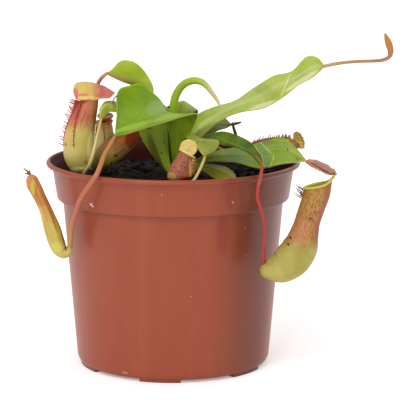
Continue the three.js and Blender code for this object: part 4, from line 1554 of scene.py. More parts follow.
@dataclass
class ClosedPitcher(Cup):
    """The unopened pitcher, its lid still shut, with its spur."""

    threads: Sequence[Route] = ()

    def table(self) -> Table:
        """Rings from pole to pole, with two long ribs and a line under the lid."""
        rows = 96
        table = []
        for i in range(rows + 1):
            share = i / rows
            pole = -99.0 if i in (0, rows) else 0.0
            line = -0.22 * math.exp(-(((share - 0.86) / 0.012) ** 2))
            ring = []
            for j in range(self.columns + 1):
                turn = 2 * math.pi * j / self.columns + math.pi
                angle = (math.degrees(turn) + 180) % 360 - 180
                ribs = sum(math.exp(-(((angle - at) / 9) ** 2)) for at in (-24, 24))
                grown = math.sin(math.pi * min(max((share - 0.2) / 0.75, 0), 1))
                ring.append(self.point(share, turn, pole + line + 0.55 * ribs * grown) * MM)
            table.append(ring)
        return table

    def build(self) -> bpy.types.Object:
        """Makes the pitcher and its spur threads."""
        skin = sheet_piece("skin", self.table())
        close_seams(skin)
        smooth(skin, 60)
        dress(skin, material_of(self.finish))
        hairs = [tube_piece("thread", route, 16, 8) for route in self.threads]
        for hair in hairs:
            dress(hair, material_of(self.fringe))
        pitcher = joined("fine_" + self.node, [skin, *hairs])
        stand_for(pitcher, self.slot, self.node)
        return pitcher


@dataclass
class Lid:
    """A pitcher's lid on its neck."""

    node: str
    slot: Slot
    stations: Stations
    neck: Route
    top: LidFinish
    under: LidFinish
    turned: bool = False
    ruffle: float = 0.25
    rows: int = 40
    columns: int = 26
    teeth: int = 0
    fringe: Optional[BristleFinish] = None

    def hairs(self, table: Table) -> list[bpy.types.Object]:
        """Short teeth along both long edges, spread by rule."""
        draw = random.Random(self.teeth)
        made = []
        for i in range(self.teeth):
            row = table[round((0.08 + 0.9 * (i + draw.random()) / self.teeth) * (len(table) - 1))]
            edge, inward = (row[0], row[3]) if i % 3 else (row[-1], row[-4])
            out = (edge - inward).normalized() * 1000 * MM
            lift = Vector((0.5, 0, 0.6)) * draw.uniform(0.2, 1)
            route = [(*(edge / MM + (out + lift) * reach), thick)
                     for reach, thick in ((-0.3, 0.22), (0.35, 0.16), (0.6 + draw.random() * 0.6, 0.05))]
            made.append(tube_piece("tooth", route, 8, 6))
            dress(made[-1], material_of(self.fringe))
        return made

    def build(self) -> bpy.types.Object:
        """Makes the lid, its neck and its teeth."""
        table = blade_table(self.stations, self.rows, self.columns, self.ruffle, 4)
        plate = leaf_piece("plate", table, 0.6, 0.9, 0.3)
        faces = (self.under, self.top) if self.turned else (self.top, self.under)
        dress(plate, *(material_of(face) for face in faces))
        neck = tube_piece("neck", self.neck, 18, 16)
        dress(neck, material_of(self.under))
        lid = joined("fine_" + self.node, [plate, neck, *self.hairs(table)])
        stand_for(lid, self.slot, self.node)
        return lid


def oval_stations(centre: Point, long: Point, wide: Point, dome: float) -> Stations:
    """Cross lines of a small oval lid.

    Args:
        centre: Its middle.
        long: Its long half axis.
        wide: Its wide half axis.
        dome: How far its middle stands proud.

    Returns:
        Cross lines from one end to the other.
    """
    middle, reach, half = Vector(centre), Vector(long), Vector(wide)
    normal = reach.cross(half).normalized()
    stations = []
    for i in range(9):
        place = -0.985 + 1.97 * i / 8
        width = math.sqrt(1 - place * place)
        stations.append([
            middle + reach * place + half * side * width
            + normal * dome * (1 - place * place) * (1 - side * side * width)
            for side in (-1.0, -0.5, 0.0, 0.5, 1.0)
        ])
    return stations


# Lines of the plant, in millimetres

LEAF_FRONT_LEFT: Stations = (
    ((0.1, -1, 93), (2.4, -1, 92.6), (4.2, -0.3, 92.8)),
    ((-0.8, -1.2, 101.5), (1.6, -2.2, 101.9), (4.6, -1.6, 101.7)),
    ((-1.6, -1, 110.6), (1.4, -3, 111.4), (7.9, -4, 109.8)),
    ((-2.9, 2.5, 117.8), (0.6, -3, 117.8), (11.4, -8, 119.6)),
    ((-5.3, 5, 122.8), (-4.3, -5, 120.2), (5.9, -13, 119.7)),
    ((-9.6, 7, 127.8), (-10.8, -9, 119.1), (-4.3, -17, 116.9)),
    ((-14.9, 7, 132.3), (-16.5, -13.5, 117.2), (-13.5, -21.5, 114.7)),
    ((-20.8, 4, 131.5), (-20.5, -17, 115.3), (-19.2, -23.6, 113.5)),
    ((-25.6, -1, 130.2), (-23.6, -20, 113.6), (-22.9, -24, 112.5)),
    ((-26.1, -13, 121.5), (-25.6, -22, 112.4), (-25.2, -23.4, 111.9)),
    ((-26.9, -21.6, 112.2), (-26.5, -22.2, 111.7), (-26, -22.6, 111.5)),
)
LEAF_TOP_LEFT: Stations = (
    ((-0.8, -0.2, 91.4), (-2.6, 1.4, 91.2), (-3.7, 3.7, 91.4)),
    ((-2.2, 1.6, 100.4), (-6.8, 1.6, 99.4), (-9.6, 3, 98.4)),
    ((-3.1, 4, 111), (-10.6, 3.2, 110.4), (-16.2, 4.4, 109.4)),
    ((-6.4, 9, 118.6), (-12.4, 8.6, 118.6), (-17.6, 9.4, 117.6)),
    ((-10.4, 16, 125.4), (-14.3, 12.2, 126), (-9.4, 10.6, 127.2)),
    ((-14.6, 21, 131), (-18.6, 11, 131), (-12.6, 6.6, 136.6)),
    ((-20.4, 21, 135.4), (-23.3, 7, 133.4), (-18.4, 1, 143)),
    ((-25.2, 15, 137.4), (-26.6, 4, 135.3), (-24.4, -0.6, 143.8)),
    ((-28.4, 7, 138), (-29.1, 1.6, 136.8), (-28.2, -0.6, 140.3)),
    ((-30.4, 0.8, 138.2), (-30.6, 0, 137.9), (-30.4, -0.6, 138.4)),
)
LEAF_SMALL_LEFT: Stations = (
    ((-0.4, 0.8, 97.4), (0.6, 0.7, 97.3), (1.7, 0.7, 97.4)),
    ((-1.6, 0.7, 108.2), (0.1, 0.4, 108.4), (1.9, 0.3, 108.2)),
    ((-4.6, 2.4, 115), (-4, 1.1, 114.2), (-3.4, 0.2, 112.8)),
    ((-11, 2, 118.4), (-10.6, -1, 117.8), (-10.2, -3, 116.4)),
    ((-17.4, 1, 120.6), (-17.2, -3, 120), (-17, -5, 118.4)),
    ((-24, 1, 123), (-24.2, -5, 122.4), (-24.4, -7, 120.2)),
    ((-29.4, -2.4, 125.2), (-29.8, -8, 124.2), (-29.9, -8.8, 120.9)),
    ((-32.4, -8, 125.2), (-32.6, -12, 123.2), (-31.8, -11.6, 119.6)),
    ((-33.8, -12.4, 122.6), (-33.8, -15, 120.8), (-32.6, -13.6, 118.9)),
    ((-33.7, -15.3, 118.4), (-33.5, -15.9, 118.1), (-33.1, -15.5, 117.8)),
)
LEAF_LONG_RIGHT: Stations = (
    ((3.8, 7.3, 94.9), (5.6, 5.7, 94.7), (6.2, 3.9, 94.7)),
    ((6.2, 8.8, 101.4), (7.6, 7, 100.8), (7.6, 5.2, 100.2)),
    ((8, 10, 107.2), (9, 7.4, 105.8), (9, 5.4, 103.5)),
    ((10.9, 14, 115.3), (13.2, 8, 111.9), (14.1, 3, 108.3)),
    ((19.5, 16, 119.9), (21.3, 9, 117), (23.1, 3, 115.4)),
    ((30, 16, 123.2), (31.7, 8, 121.9), (32.4, 2, 119.4)),
    ((38.5, 15, 129.1), (40.6, 6, 126), (42.2, 0, 121.8)),
    ((47.9, 12, 135.3), (49.9, 4, 131.3), (52, -2, 127.5)),
    ((56.2, 9, 137.5), (57.7, 2, 135.4), (58.4, -4, 132.4)),
    ((63.1, 6, 145), (63.7, 0, 139.4), (63.9, -5, 135.9)),
    ((67.6, 2, 145.2), (68.2, -2, 141.4), (68.4, -4, 139.2)),
    ((70.4, -2.2, 142.2), (70.5, -3, 141.7), (70.4, -3.6, 141.4)),
)
LEAF_GREY_RIGHT: Stations = (
    ((2.8, 8.4, 93.9), (4.6, 8, 93.5), (5.8, 7.2, 92.8)),
    ((5.2, 12.4, 99.8), (7.4, 11.4, 99.2), (7.8, 10, 98.2)),
    ((9.6, 15.2, 106), (10.8, 12.6, 104.6), (11.2, 11.4, 102.4)),
    ((14.3, 18, 111.4), (14.6, 14, 108.7), (15.2, 12.4, 105.5)),
    ((21.1, 24, 114.2), (20.5, 18, 110.9), (21, 15, 108.4)),
    ((25.5, 24, 112.8), (25.4, 21, 110.6), (25.4, 19.6, 109.1)),
    ((27.6, 22.6, 110.8), (27.8, 22, 110.4), (27.7, 21.6, 110)),
)
LEAF_ARCHING_RIGHT: Stations = (
    ((4.6, 2.9, 95.8), (4.9, 1.7, 95), (4.9, 0.7, 94.3)),
    ((9.4, -2.4, 103), (10.2, -4.6, 101), (9.4, -2.2, 99.4)),
    ((14.9, -6, 108.9), (14.8, -10, 106), (14.6, -4.4, 104.9)),
    ((21.8, -12, 112), (22.1, -18, 106.9), (22, -8.8, 108)),
    ((27.2, -19, 112.3), (28, -25, 107.5), (28.3, -14.4, 108.2)),
    ((32.9, -27, 111), (32.3, -32, 106.9), (33.8, -22.4, 107)),
    ((36.8, -34, 109.3), (36.2, -38, 104.9), (38, -30.4, 105)),
    ((39.8, -40, 106.6), (38.8, -43, 102.6), (40.5, -37.4, 102.6)),
    ((40.8, -44.6, 101.6), (40.2, -45.4, 100.9), (41.2, -44.2, 100.7)),
)
LEAF_LOW_RIGHT: Stations = (
    ((6.2, 4.4, 93.8), (6.2, 3.1, 92.8), (6.3, 1.9, 92)),
    ((12.4, 4.4, 97), (12.4, 1.4, 95.8), (12, -1, 94.8)),
    ((18.9, 6, 99.7), (18.8, -0.4, 98.4), (17.8, -5, 97)),
    ((28, 8, 101), (28.2, -2, 99.3), (27.5, -12, 97.6)),
    ((37.5, 8.6, 102.6), (37.5, -4, 100.2), (35.6, -20, 96.8)),
    ((44.1, 7.4, 104.6), (44.5, -6, 102.1), (41.6, -24, 97)),
    ((51.5, 3.8, 106.8), (51.8, -9, 103), (49.6, -24.4, 98.6)),
    ((56.4, -3, 104.2), (57.2, -13, 101), (55.8, -20, 98.9)),
    ((61.8, -15.4, 99.2), (61.9, -16, 98.9), (61.6, -16.5, 98.8)),
)
LEAF_SMALL_FRONT: Stations = (
    ((3.4, 1.5, 96.4), (3.7, 1.7, 96.2), (4.1, 2, 96.4)),
    ((5, -0.6, 97.8), (5.6, -0.5, 97.6), (6.2, -0.3, 97.8)),
    ((5.3, -2.6, 100), (6.5, -2.9, 99.8), (7.5, -2.5, 100)),
    ((4.9, -4.8, 104.6), (6.2, -5.2, 104), (7.4, -5, 104.6)),
    ((5, -5.8, 109.4), (5.4, -7.2, 109), (7.2, -8.6, 110.4)),
    ((9.8, -8.6, 107.6), (8.3, -12, 108.2), (13.9, -14, 109.2)),
    ((13, -15.6, 105.6), (10.5, -20, 107), (21, -21, 109)),
    ((14.4, -22.4, 104.2), (12.8, -26, 105), (19.7, -26, 105.7)),
    ((14.6, -28.6, 103.5), (14.5, -28.9, 103.3), (14.9, -28.9, 103.3)),
)
LEAF_ON_PEAT: Stations = (
    ((4.8, 0.95, 91.6), (4.4, -0.25, 91.3), (3.6, -1.35, 91.5)),
    ((9.6, -5, 95.4), (8.6, -6.6, 94.8), (7.2, -7.6, 94)),
    ((15, -9, 96.3), (14.4, -12, 95.5), (13.8, -15.6, 94)),
    ((21.8, -15, 96.4), (21.2, -22, 95.3), (17.9, -26, 93)),
    ((26.7, -23, 95.8), (25.6, -30, 94.4), (22.3, -34, 92.4)),
    ((28.7, -34, 94.8), (27.7, -38, 93.6), (25.8, -40, 92.2)),
    ((28.8, -42.5, 92.6), (28.4, -43, 92.4), (27.9, -43.2, 92.2)),
)
LEAF_BACK_RIGHT: Stations = (
    ((2.4, 8.3, 95.8), (1, 8.3, 95.8), (-0.4, 8, 95.8)),
    ((5.6, 12, 106), (3.4, 11.2, 106), (1.2, 12, 106)),
    ((7.4, 15.4, 114.8), (4.2, 14, 115.5), (1, 15.4, 114.4)),
    ((11, 22, 117.4), (4.9, 23, 121), (-1.8, 22.6, 119)),
    ((11.8, 32, 113.6), (5.2, 33.6, 118.6), (-3.8, 32.6, 115.6)),
    ((10.6, 42, 107.6), (6, 43.4, 111.5), (-0.4, 42.6, 109.2)),
    ((8.4, 49.2, 104.4), (7.6, 49.6, 104.5), (6.9, 49.4, 104.2)),
)
LEAF_BACK_LEFT: Stations = (
    ((-0.7, 8.6, 93.8), (-2.2, 7.3, 94), (-3.2, 6.1, 94.2)),
    ((-0.7, 10.6, 105.6), (-4, 9.6, 105.6), (-6, 9.8, 105)),
    ((-0.6, 14, 116.6), (-6.2, 13.4, 117.4), (-10.6, 14.6, 116.6)),
    ((-3.9, 19, 119.8), (-9, 18.6, 124.4), (-16, 20, 121)),
    ((-5.6, 29, 117.6), (-12.4, 29.6, 121.4), (-20.4, 28.6, 117.2)),
    ((-11.4, 38, 111.4), (-16.2, 38, 115.2), (-22.2, 36, 111.2)),
    ((-19, 43.4, 106.6), (-19.6, 43.2, 106.4), (-20.2, 42.8, 106)),
)
TENDRIL_LEFT: Route = (
    (-27, -23, 111.2, 0.8), (-28.7, -32.5, 109.1, 1), (-31.1, -41.5, 105.9, 1.05),
    (-32.9, -49.2, 101.7, 1.1), (-34.4, -51.8, 98.5, 1.15), (-37.1, -52, 94.4, 1.2),
    (-40.7, -50, 89, 1.2), (-43.1, -46, 83.3, 1.2), (-44.9, -42, 77.4, 1.2),
    (-46.4, -38, 71.5, 1.2), (-47.1, -34.6, 66.2, 1.2), (-47.5, -32.6, 62.5, 1.2),
)
TENDRIL_TOP_LEFT: Route = (
    (-31.3, 0.1, 137.8, 0.7), (-33.4, 1, 136, 0.9), (-35.4, 3, 132.8, 0.9), (-37, 5, 127.6, 0.9),
    (-38.2, 8, 119.5, 0.9), (-38.8, 10.5, 107, 0.9), (-38.8, 12.6, 97, 0.9),
    (-37.4, 14, 92.7, 0.8),
)
TENDRIL_SMALL_LEFT: Route = (
    (-33.6, -16.15, 117.8, 0.6), (-34.6, -18.2, 113.3, 0.75), (-35.9, -20.2, 107.6, 0.8),
    (-37.3, -21.6, 102.2, 0.85), (-39, -21, 97.4, 0.9), (-41, -17.4, 93.8, 0.9),
)
TENDRIL_BUD_RIGHT: Route = (
    (70.9, -3.3, 141.8, 0.8), (75.1, -4, 142.8, 0.8), (80.6, -4, 143.6, 0.75),
    (87.1, -5, 144.2, 0.75), (93.6, -5, 144.4, 0.75), (98, -5, 144.9, 0.85),
    (100.7, -5, 146.4, 0.95), (101.3, -5, 148.8, 1.35), (100.5, -5, 152, 1.65),
    (99.4, -5, 154.8, 1.25), (98.4, -5, 157.4, 0.3),
)
TENDRIL_ARCHING: Route = (
    (40, -45.75, 100.5, 0.7), (39.2, -49.2, 96.8, 0.85), (38.1, -51, 92.4, 0.8),
    (37.9, -51.2, 87.8, 0.75), (39.5, -50.2, 82.6, 0.75), (41, -49.2, 76.5, 0.75),
    (41.3, -48, 69.4, 0.75), (40.9, -46.6, 62, 0.8), (41.1, -45.8, 57.5, 0.9),
)
TENDRIL_SMALL_FRONT: Route = (
    (14.5, -29.1, 102.8, 0.6), (13.3, -33, 100.3, 0.65), (11.7, -36.2, 97.4, 0.7),
    (9.5, -38.6, 94, 0.7), (7, -37.7, 92, 0.6),
)
TENDRIL_BACK_LEFT: Route = (
    (-20.6, 43.5, 105.6, 0.7), (-25, 42, 101, 0.8), (-32, 36, 96, 0.8), (-38.6, 26, 93.4, 0.8),
    (-42.6, 16, 92.4, 0.8), (-42.2, 7, 91.6, 0.8), (-38.6, 1.5, 92, 0.8),
)
TENDRIL_BACK_RIGHT: Route = (
    (8.1, 50.1, 104, 0.7), (14, 50, 99.4, 0.8), (22, 44.6, 95.6, 0.8), (28.6, 34.6, 94, 0.8),
    (31.2, 22.6, 95, 0.8), (32.8, 14.4, 97.2, 0.8),
)
YOUNG_LEAF: Route = (
    (1.4, 4.6, 98, 1.9), (0.8, 5, 104, 2), (0.2, 5, 111, 2.05), (-0.1, 5, 118.5, 2.05),
    (1.3, 4, 127.2, 1.95), (5.1, 2, 132.7, 1.85), (9.8, 0, 134.6, 1.75), (14, -2, 133.8, 1.55),
    (17.2, -4, 130.6, 1.2), (20.5, -5, 126.1, 0.85), (22.3, -6, 122.9, 0.4),
)
PITCHER_CLOSED_LEFT: Route = (
    (-47.6, -32.2, 61.7, 1.2), (-48.2, -31.6, 59.7, 1.9), (-50.2, -31, 58.6, 2.8),
    (-52.2, -30.4, 60, 3.4), (-53.8, -29.6, 63.1, 3.8), (-55.5, -28.6, 68.3, 3.9),
    (-57.2, -27.8, 73.3, 3.4), (-59, -27, 78.3, 2.9), (-60.9, -26.4, 82.4, 2.8),
    (-63.1, -25.4, 86.7, 3.05), (-64.6, -24.8, 89.5, 3.2), (-65.4, -24.2, 92.2, 2.6),
    (-65.9, -23.8, 93.8, 1.2),
)
DRY_TENDRILS: Sequence[Route] = (
    ((28.3, 22.1, 110.6, 0.7), (30.4, 22.4, 111, 0.7), (33, 22.8, 111.6, 0.35)),
    ((28.7, 22.2, 110.6, 0.6), (29.7, 23, 107, 0.75), (31.6, 24.4, 102.4, 0.6), (33.6, 25.6, 98.4, 0.35)),
)
DARK_THREAD: Route = (
    (-25.6, -19, 130, 0.3), (-27, -19.5, 129.1, 0.28), (-27.6, -19.5, 127.8, 0.26),
    (-27.7, -19.5, 126.4, 0.22), (-27.4, -19.5, 125.4, 0.14),
)
SPUR_THREADS: Sequence[Route] = (
    ((-65.7, -23.9, 93.4, 0.6), (-67.3, -23.7, 95.3, 0.45), (-69.2, -23.4, 96.9, 0.2)),
    ((-65.7, -23.9, 93.4, 0.6), (-66.3, -23.2, 94.8, 0.4), (-66.6, -22.8, 96, 0.2)),
    ((-65.7, -23.9, 93.4, 0.6), (-66.9, -24.4, 94.3, 0.4), (-68.5, -24.9, 94.6, 0.2)),
)
FOLDED_LID_NECK: Route = (
    (-38.8, -4.5, 127.2, 0.6), (-38.8, -4.4, 129, 0.7), (-38.8, -4.2, 131, 0.5),
)
LEANING_LID_NECK: Route = (
    (73.4, -43, 96.6, 0.6), (73.4, -42.6, 97.4, 0.7), (72.6, -42.2, 98.4, 0.5),
)
FOLDED_LID: Stations = (
    ((-45, -7.4, 127.6), (-45.4, -8.8, 128.4), (-45.4, -10.4, 128.2), (-44.8, -11.6, 127.4)),
    ((-44.8, -4.6, 127), (-46.2, -6.4, 130.8), (-45.7, -11.6, 130.2), (-44.8, -14, 127.5)),
    ((-42.9, -4, 126.6), (-44.9, -4.6, 133.4), (-45.2, -12, 132), (-44.2, -15, 127.4)),
    ((-40.6, -4, 126.6), (-41.6, -4.4, 134.1), (-41.4, -11.4, 132.9), (-40.8, -15, 127.4)),
    ((-37.6, -4, 126.8), (-37.4, -4.2, 133.7), (-37, -9.8, 132.2), (-36.6, -13, 127.7)),
    ((-33.8, -4, 127.6), (-32.8, -4.4, 132.4), (-32, -7.6, 130.4), (-32.3, -10.2, 127.5)),
    ((-31, -4.8, 128.4), (-30, -5.4, 131), (-29.3, -7.2, 129.8), (-29.6, -9, 127.5)),
    ((-27.8, -6.3, 129.7), (-27.5, -6.5, 129.6), (-27.4, -6.8, 129.3), (-27.6, -7.1, 129.1)),
)
LEANING_LID: Stations = (
    ((73.7, -40.6, 98), (73.5, -42, 97.4), (72.9, -43.4, 96.9)),
    ((72, -38.8, 99.4), (71.1, -43.2, 99), (69.6, -47, 98)),
    ((67.5, -38, 101.7), (66.8, -43.6, 101.4), (66, -48.2, 99.8)),
    ((62.5, -39.4, 103.4), (62, -44, 103.2), (62.2, -47.4, 101.7)),
    ((60, -43.2, 103.4), (59.8, -43.8, 103.2), (60, -44.6, 102.9)),
)
PITCHER_FRONT_LEFT: Route = (
    (-41.6, -13.8, 93, 1.4), (-42, -13.4, 94.2, 3.8), (-43.2, -12.6, 97.4, 5.9),
    (-43.9, -11.8, 102.4, 7), (-43.6, -11.2, 109.6, 6.7), (-42.2, -10.6, 115.6, 5.9),
    (-40.8, -10, 120, 5), (-39.6, -10, 124, 4.3), (-38.9, -10, 127, 3.9),
)
PITCHER_STANDING: Route = (
    (-36, 13.9, 92.5, 0.8), (-34.8, 13.6, 93.6, 2.2), (-33.8, 13.4, 96.4, 3.9),
    (-33, 13.6, 101, 4.8), (-32.8, 13.6, 106, 4.6), (-33, 13.6, 109.8, 4.1),
    (-33.1, 13.6, 112.6, 3.7),
)
PITCHER_LEANING: Route = (
    (-37, 1.4, 92.6, 0.9), (-35.8, 1.4, 94.2, 3.2), (-33, 1.5, 97.4, 5.4),
    (-29.2, 1.8, 100.6, 5.7), (-25.4, 4, 103.2, 5.3), (-22.2, 6.6, 105.2, 4.9),
    (-19, 9.3, 106.9, 4.5), (-15.8, 11.8, 108.6, 4.2),
)
PITCHER_SMALL_FRONT: Route = (
    (4.4, -35, 91.8, 0.9), (3.4, -34.6, 92.6, 3.6), (3, -34.2, 94.8, 5.8),
    (3.3, -33.6, 97.4, 5.2), (4.2, -32.8, 100, 4.3), (5.4, -32, 102.6, 3.7),
    (6.2, -31.6, 104.4, 3.6),
)
PITCHER_HANGING_RIGHT: Route = (
    (39.6, -45.6, 54.3, 0.7), (40.3, -45.5, 54.1, 2.3), (42, -45.3, 53.7, 4),
    (45, -45, 53.9, 5.7), (49.2, -44.4, 54.7, 7.4), (54.4, -43.4, 58.4, 8.4),
    (58, -42.4, 63.6, 8), (59.8, -41.8, 69.4, 6.5), (61.3, -41.6, 75.3, 5.6),
    (63.2, -41.6, 81.5, 5.7), (64.9, -41.8, 86.9, 5.9), (65.8, -42, 91.7, 5.8),
)
PITCHER_LYING_RIGHT: Route = (
    (33.8, 13.4, 97.6, 0.8), (35.8, 13.2, 98.8, 2.4), (40, 13, 99.6, 4), (45.4, 13, 100.2, 4.4),
    (50, 13, 101, 4.2), (53.6, 13, 102, 3.6), (56.4, 13, 102.9, 3.5),
)


# Finishes of the leaves


UNDER_GREEN = LeafFinish(
    "under_green", srgb(116, 136, 18), srgb(136, 152, 36), srgb(94, 114, 8),
    srgb(136, 146, 44), srgb(142, 146, 46), srgb(160, 140, 56), sheen_share=0.1,
)
STALK_MARKS: tuple[Mark, ...] = (
    Stroke(147, 130, 163, 176, 9, 1, srgb(104, 92, 24), 0.65),
    Stroke(164, 128, 169, 165, 5, 1, srgb(136, 158, 44), 0.5),
    Stroke(146, 148, 162, 178, 1.2, 1, srgb(170, 170, 90), 0.8),
    Spot(163.6, 143, 1.1, 1.1, 1, srgb(40, 40, 10), 0.9),
    Spot(161.6, 153, 1.2, 1.2, 1, srgb(60, 54, 16), 0.9),
    Spot(149, 129, 3, 1.6, 1, srgb(70, 52, 16), 0.5),
)
FRONT_TOP = LeafFinish(
    "leaf_front_top", srgb(108, 144, 2), srgb(124, 158, 12), srgb(94, 130, 0),
    srgb(124, 162, 44), srgb(158, 176, 72), srgb(160, 170, 60),
    sheen=srgb(150, 168, 96), sheen_line=0.34, sheen_share=0.15,
    marks=(
        Spot(181, 138, 15, 24, -3, srgb(146, 178, 30), 0.75),
        # Painted sheen where the blade curves.
        Spot(157, 112, 13, 7, -15, srgb(154, 168, 104), 0.4),
        # The next two strokes paint rim light along the lower edge.
        Stroke(112, 133, 152, 121.5, 5, -20, srgb(156, 182, 74), 0.7),
        Stroke(150, 122.5, 199, 108, 5, -14, srgb(156, 182, 74), 0.7),
        *STALK_MARKS,
    ),
)
LEFT_UNDER = LeafFinish(
    "leaf_left_under", srgb(174, 202, 66), srgb(186, 210, 84), srgb(156, 188, 46),
    srgb(168, 186, 66), srgb(188, 190, 88), srgb(190, 160, 84), sheen_share=0.2,
    marks=(
        Stroke(107, 72.5, 133, 84.5, 5, 2, srgb(206, 164, 118), 0.85),
        Spot(103, 77, 5, 4, 0, srgb(200, 146, 112), 0.6),
        *STALK_MARKS,
    ),
)
SMALL_TOP = LeafFinish(
    "leaf_small_top", srgb(176, 190, 66), srgb(192, 202, 88), srgb(148, 170, 40),
    srgb(176, 180, 70), srgb(170, 172, 66), srgb(196, 180, 84), sheen_share=0.2,
)
LONG_TOP = LeafFinish(
    "leaf_long_top", srgb(158, 180, 70), srgb(176, 188, 90), srgb(136, 164, 50),
    srgb(186, 192, 124), srgb(176, 180, 84), srgb(190, 170, 96),
    sheen=srgb(204, 206, 168), sheen_line=0.5, sheen_share=0.35, stalk_end=0.2,
    marks=(
        Spot(258, 88, 17, 8, 8, srgb(148, 164, 74), 0.55, -0.9),
        # The next two strokes paint the whitish sheen along the middle of the blade.
        Stroke(238, 116, 277, 97.5, 6, 5, srgb(214, 214, 182), 0.6),
        Stroke(283, 93, 319, 67.5, 5, 0, srgb(218, 220, 186), 0.6),
        Stroke(279.5, 97.5, 291.5, 74, 1.1, 2, srgb(224, 228, 190), 0.7),
        Stroke(281.5, 95, 292.5, 75, 1.6, 2, srgb(150, 172, 76), 0.5),
        Stroke(228, 122, 274, 104.5, 2.5, 3, srgb(138, 150, 62), 0.5),
        Stroke(231, 107, 262, 84, 1.3, 12, srgb(182, 172, 116), 0.7),
        Stroke(192, 138, 224, 118, 7, 6, srgb(112, 126, 60), 0.65),
        Stroke(199, 127, 222, 112, 1.6, 8, srgb(180, 196, 110), 0.6),
    ),
)
GREY_TOP = LeafFinish(
    "leaf_grey_top", srgb(116, 126, 62), srgb(138, 146, 86), srgb(92, 102, 38),
    srgb(140, 134, 80), srgb(124, 104, 60), srgb(130, 96, 60), sheen_share=0.2, specks=0.6,
)
ARCH_TOP = LeafFinish(
    "leaf_arch_top", srgb(58, 82, 0), srgb(100, 128, 8), srgb(44, 66, 0),
    srgb(92, 96, 16), srgb(116, 122, 30), srgb(150, 90, 60), sheen_share=0.06,
    marks=(
        Stroke(236, 146.5, 256, 151.5, 1.3, -22, srgb(158, 96, 52), 0.8),
        Stroke(254, 151, 262.5, 162, 1.4, -32, srgb(162, 92, 54), 0.85),
        Stroke(262.5, 160, 264.5, 171, 2.2, -40, srgb(172, 84, 60), 0.85),
        Stroke(252, 142.5, 262, 154, 1, -34, srgb(176, 190, 92), 0.8),
        Stroke(261, 153, 265.5, 170, 1, -40, srgb(180, 186, 98), 0.8),
        Stroke(213, 137, 250, 146, 3, -18, srgb(110, 134, 24), 0.6),
    ),
)
LOW_TOP = LeafFinish(
    "leaf_low_top", srgb(116, 142, 6), srgb(136, 156, 20), srgb(86, 112, 4),
    srgb(138, 160, 38), srgb(166, 174, 62), srgb(196, 176, 72), sheen_share=0.12,
    stalk_end=0.42, marks=(
        Spot(287, 148, 0.9, 0.9, -5, srgb(64, 54, 20), 0.95),
        Spot(296.5, 158, 1.3, 1.6, -14, srgb(120, 88, 44), 0.85),
        Spot(302, 161.5, 4, 2.2, -15, srgb(196, 176, 80), 0.6),
        Spot(265, 161, 6, 8, -22, srgb(104, 132, 76), 0.7),
        # Painted shade on the lower left of the blade.
        Spot(238, 158, 14, 8, -12, srgb(92, 116, 52), 0.55),
        Stroke(261, 150.5, 274, 157, 1, -20, srgb(190, 204, 120), 0.8),
        Stroke(274, 156.5, 273.5, 161, 1, -20, srgb(190, 204, 120), 0.8),
        Stroke(274, 160, 266, 170.5, 1, -22, srgb(180, 190, 104), 0.8),
        Stroke(268, 141, 288, 140, 3, 2, srgb(160, 176, 60), 0.5),
    ),
)
FRONT_SMALL_TOP = LeafFinish(
    "leaf_small_front_top", srgb(130, 140, 46), srgb(152, 160, 66), srgb(110, 124, 32),
    srgb(164, 166, 78), srgb(150, 146, 60), srgb(160, 130, 60), sheen_share=0.1,
    marks=(
        Stroke(190, 136, 206, 152, 1.6, -14, srgb(176, 168, 92), 0.6),
        Spot(214, 147, 7, 4, -18, srgb(124, 138, 52), 0.5),
        Spot(204, 140, 1.2, 0.8, -14, srgb(96, 100, 50), 0.8),
    ),
)
PEAT_LEAF_TOP = LeafFinish(
    "leaf_peat_top", srgb(110, 106, 12), srgb(128, 124, 24), srgb(86, 86, 6),
    srgb(126, 122, 34), srgb(120, 96, 34), srgb(130, 92, 40), sheen_share=0.08, specks=0.5,
)
BACK_TOP = LeafFinish(
    "leaf_back_top", srgb(88, 108, 50), srgb(112, 128, 80), srgb(74, 94, 34),
    srgb(118, 128, 74), srgb(140, 134, 70), srgb(160, 134, 70), sheen_share=0.2,
)

# Finishes of the stalks

TAN = StalkFinish("tendril_tan", srgb(180, 128, 68), srgb(174, 100, 72), srgb(180, 136, 72))
BUD = StalkFinish("tendril_bud", srgb(184, 146, 100), srgb(170, 114, 72), srgb(186, 120, 54))
RED = StalkFinish(
    "tendril_red", srgb(164, 66, 46), srgb(170, 54, 44), srgb(160, 56, 44), fleck=srgb(138, 40, 34)
)
TOP_RED = StalkFinish(
    "tendril_top_left", srgb(196, 136, 106), srgb(186, 104, 88), srgb(150, 70, 48)
)
YELLOW = StalkFinish(
    "tendril_yellow", srgb(190, 176, 84), srgb(218, 194, 126), srgb(206, 176, 96),
    fleck=srgb(180, 146, 76),
)
BACK_TAN = StalkFinish("tendril_back", srgb(150, 130, 70), srgb(160, 112, 66), srgb(140, 90, 52))
ROLLED = StalkFinish(
    "rolled_leaf", srgb(140, 176, 34), srgb(146, 172, 34), srgb(206, 190, 140),
    fleck=srgb(160, 160, 50), fleck_share=0.35,
)
DRY = StalkFinish("dry_tendril", srgb(132, 112, 72), srgb(104, 84, 54), srgb(76, 60, 42))

# Finishes of the pitchers

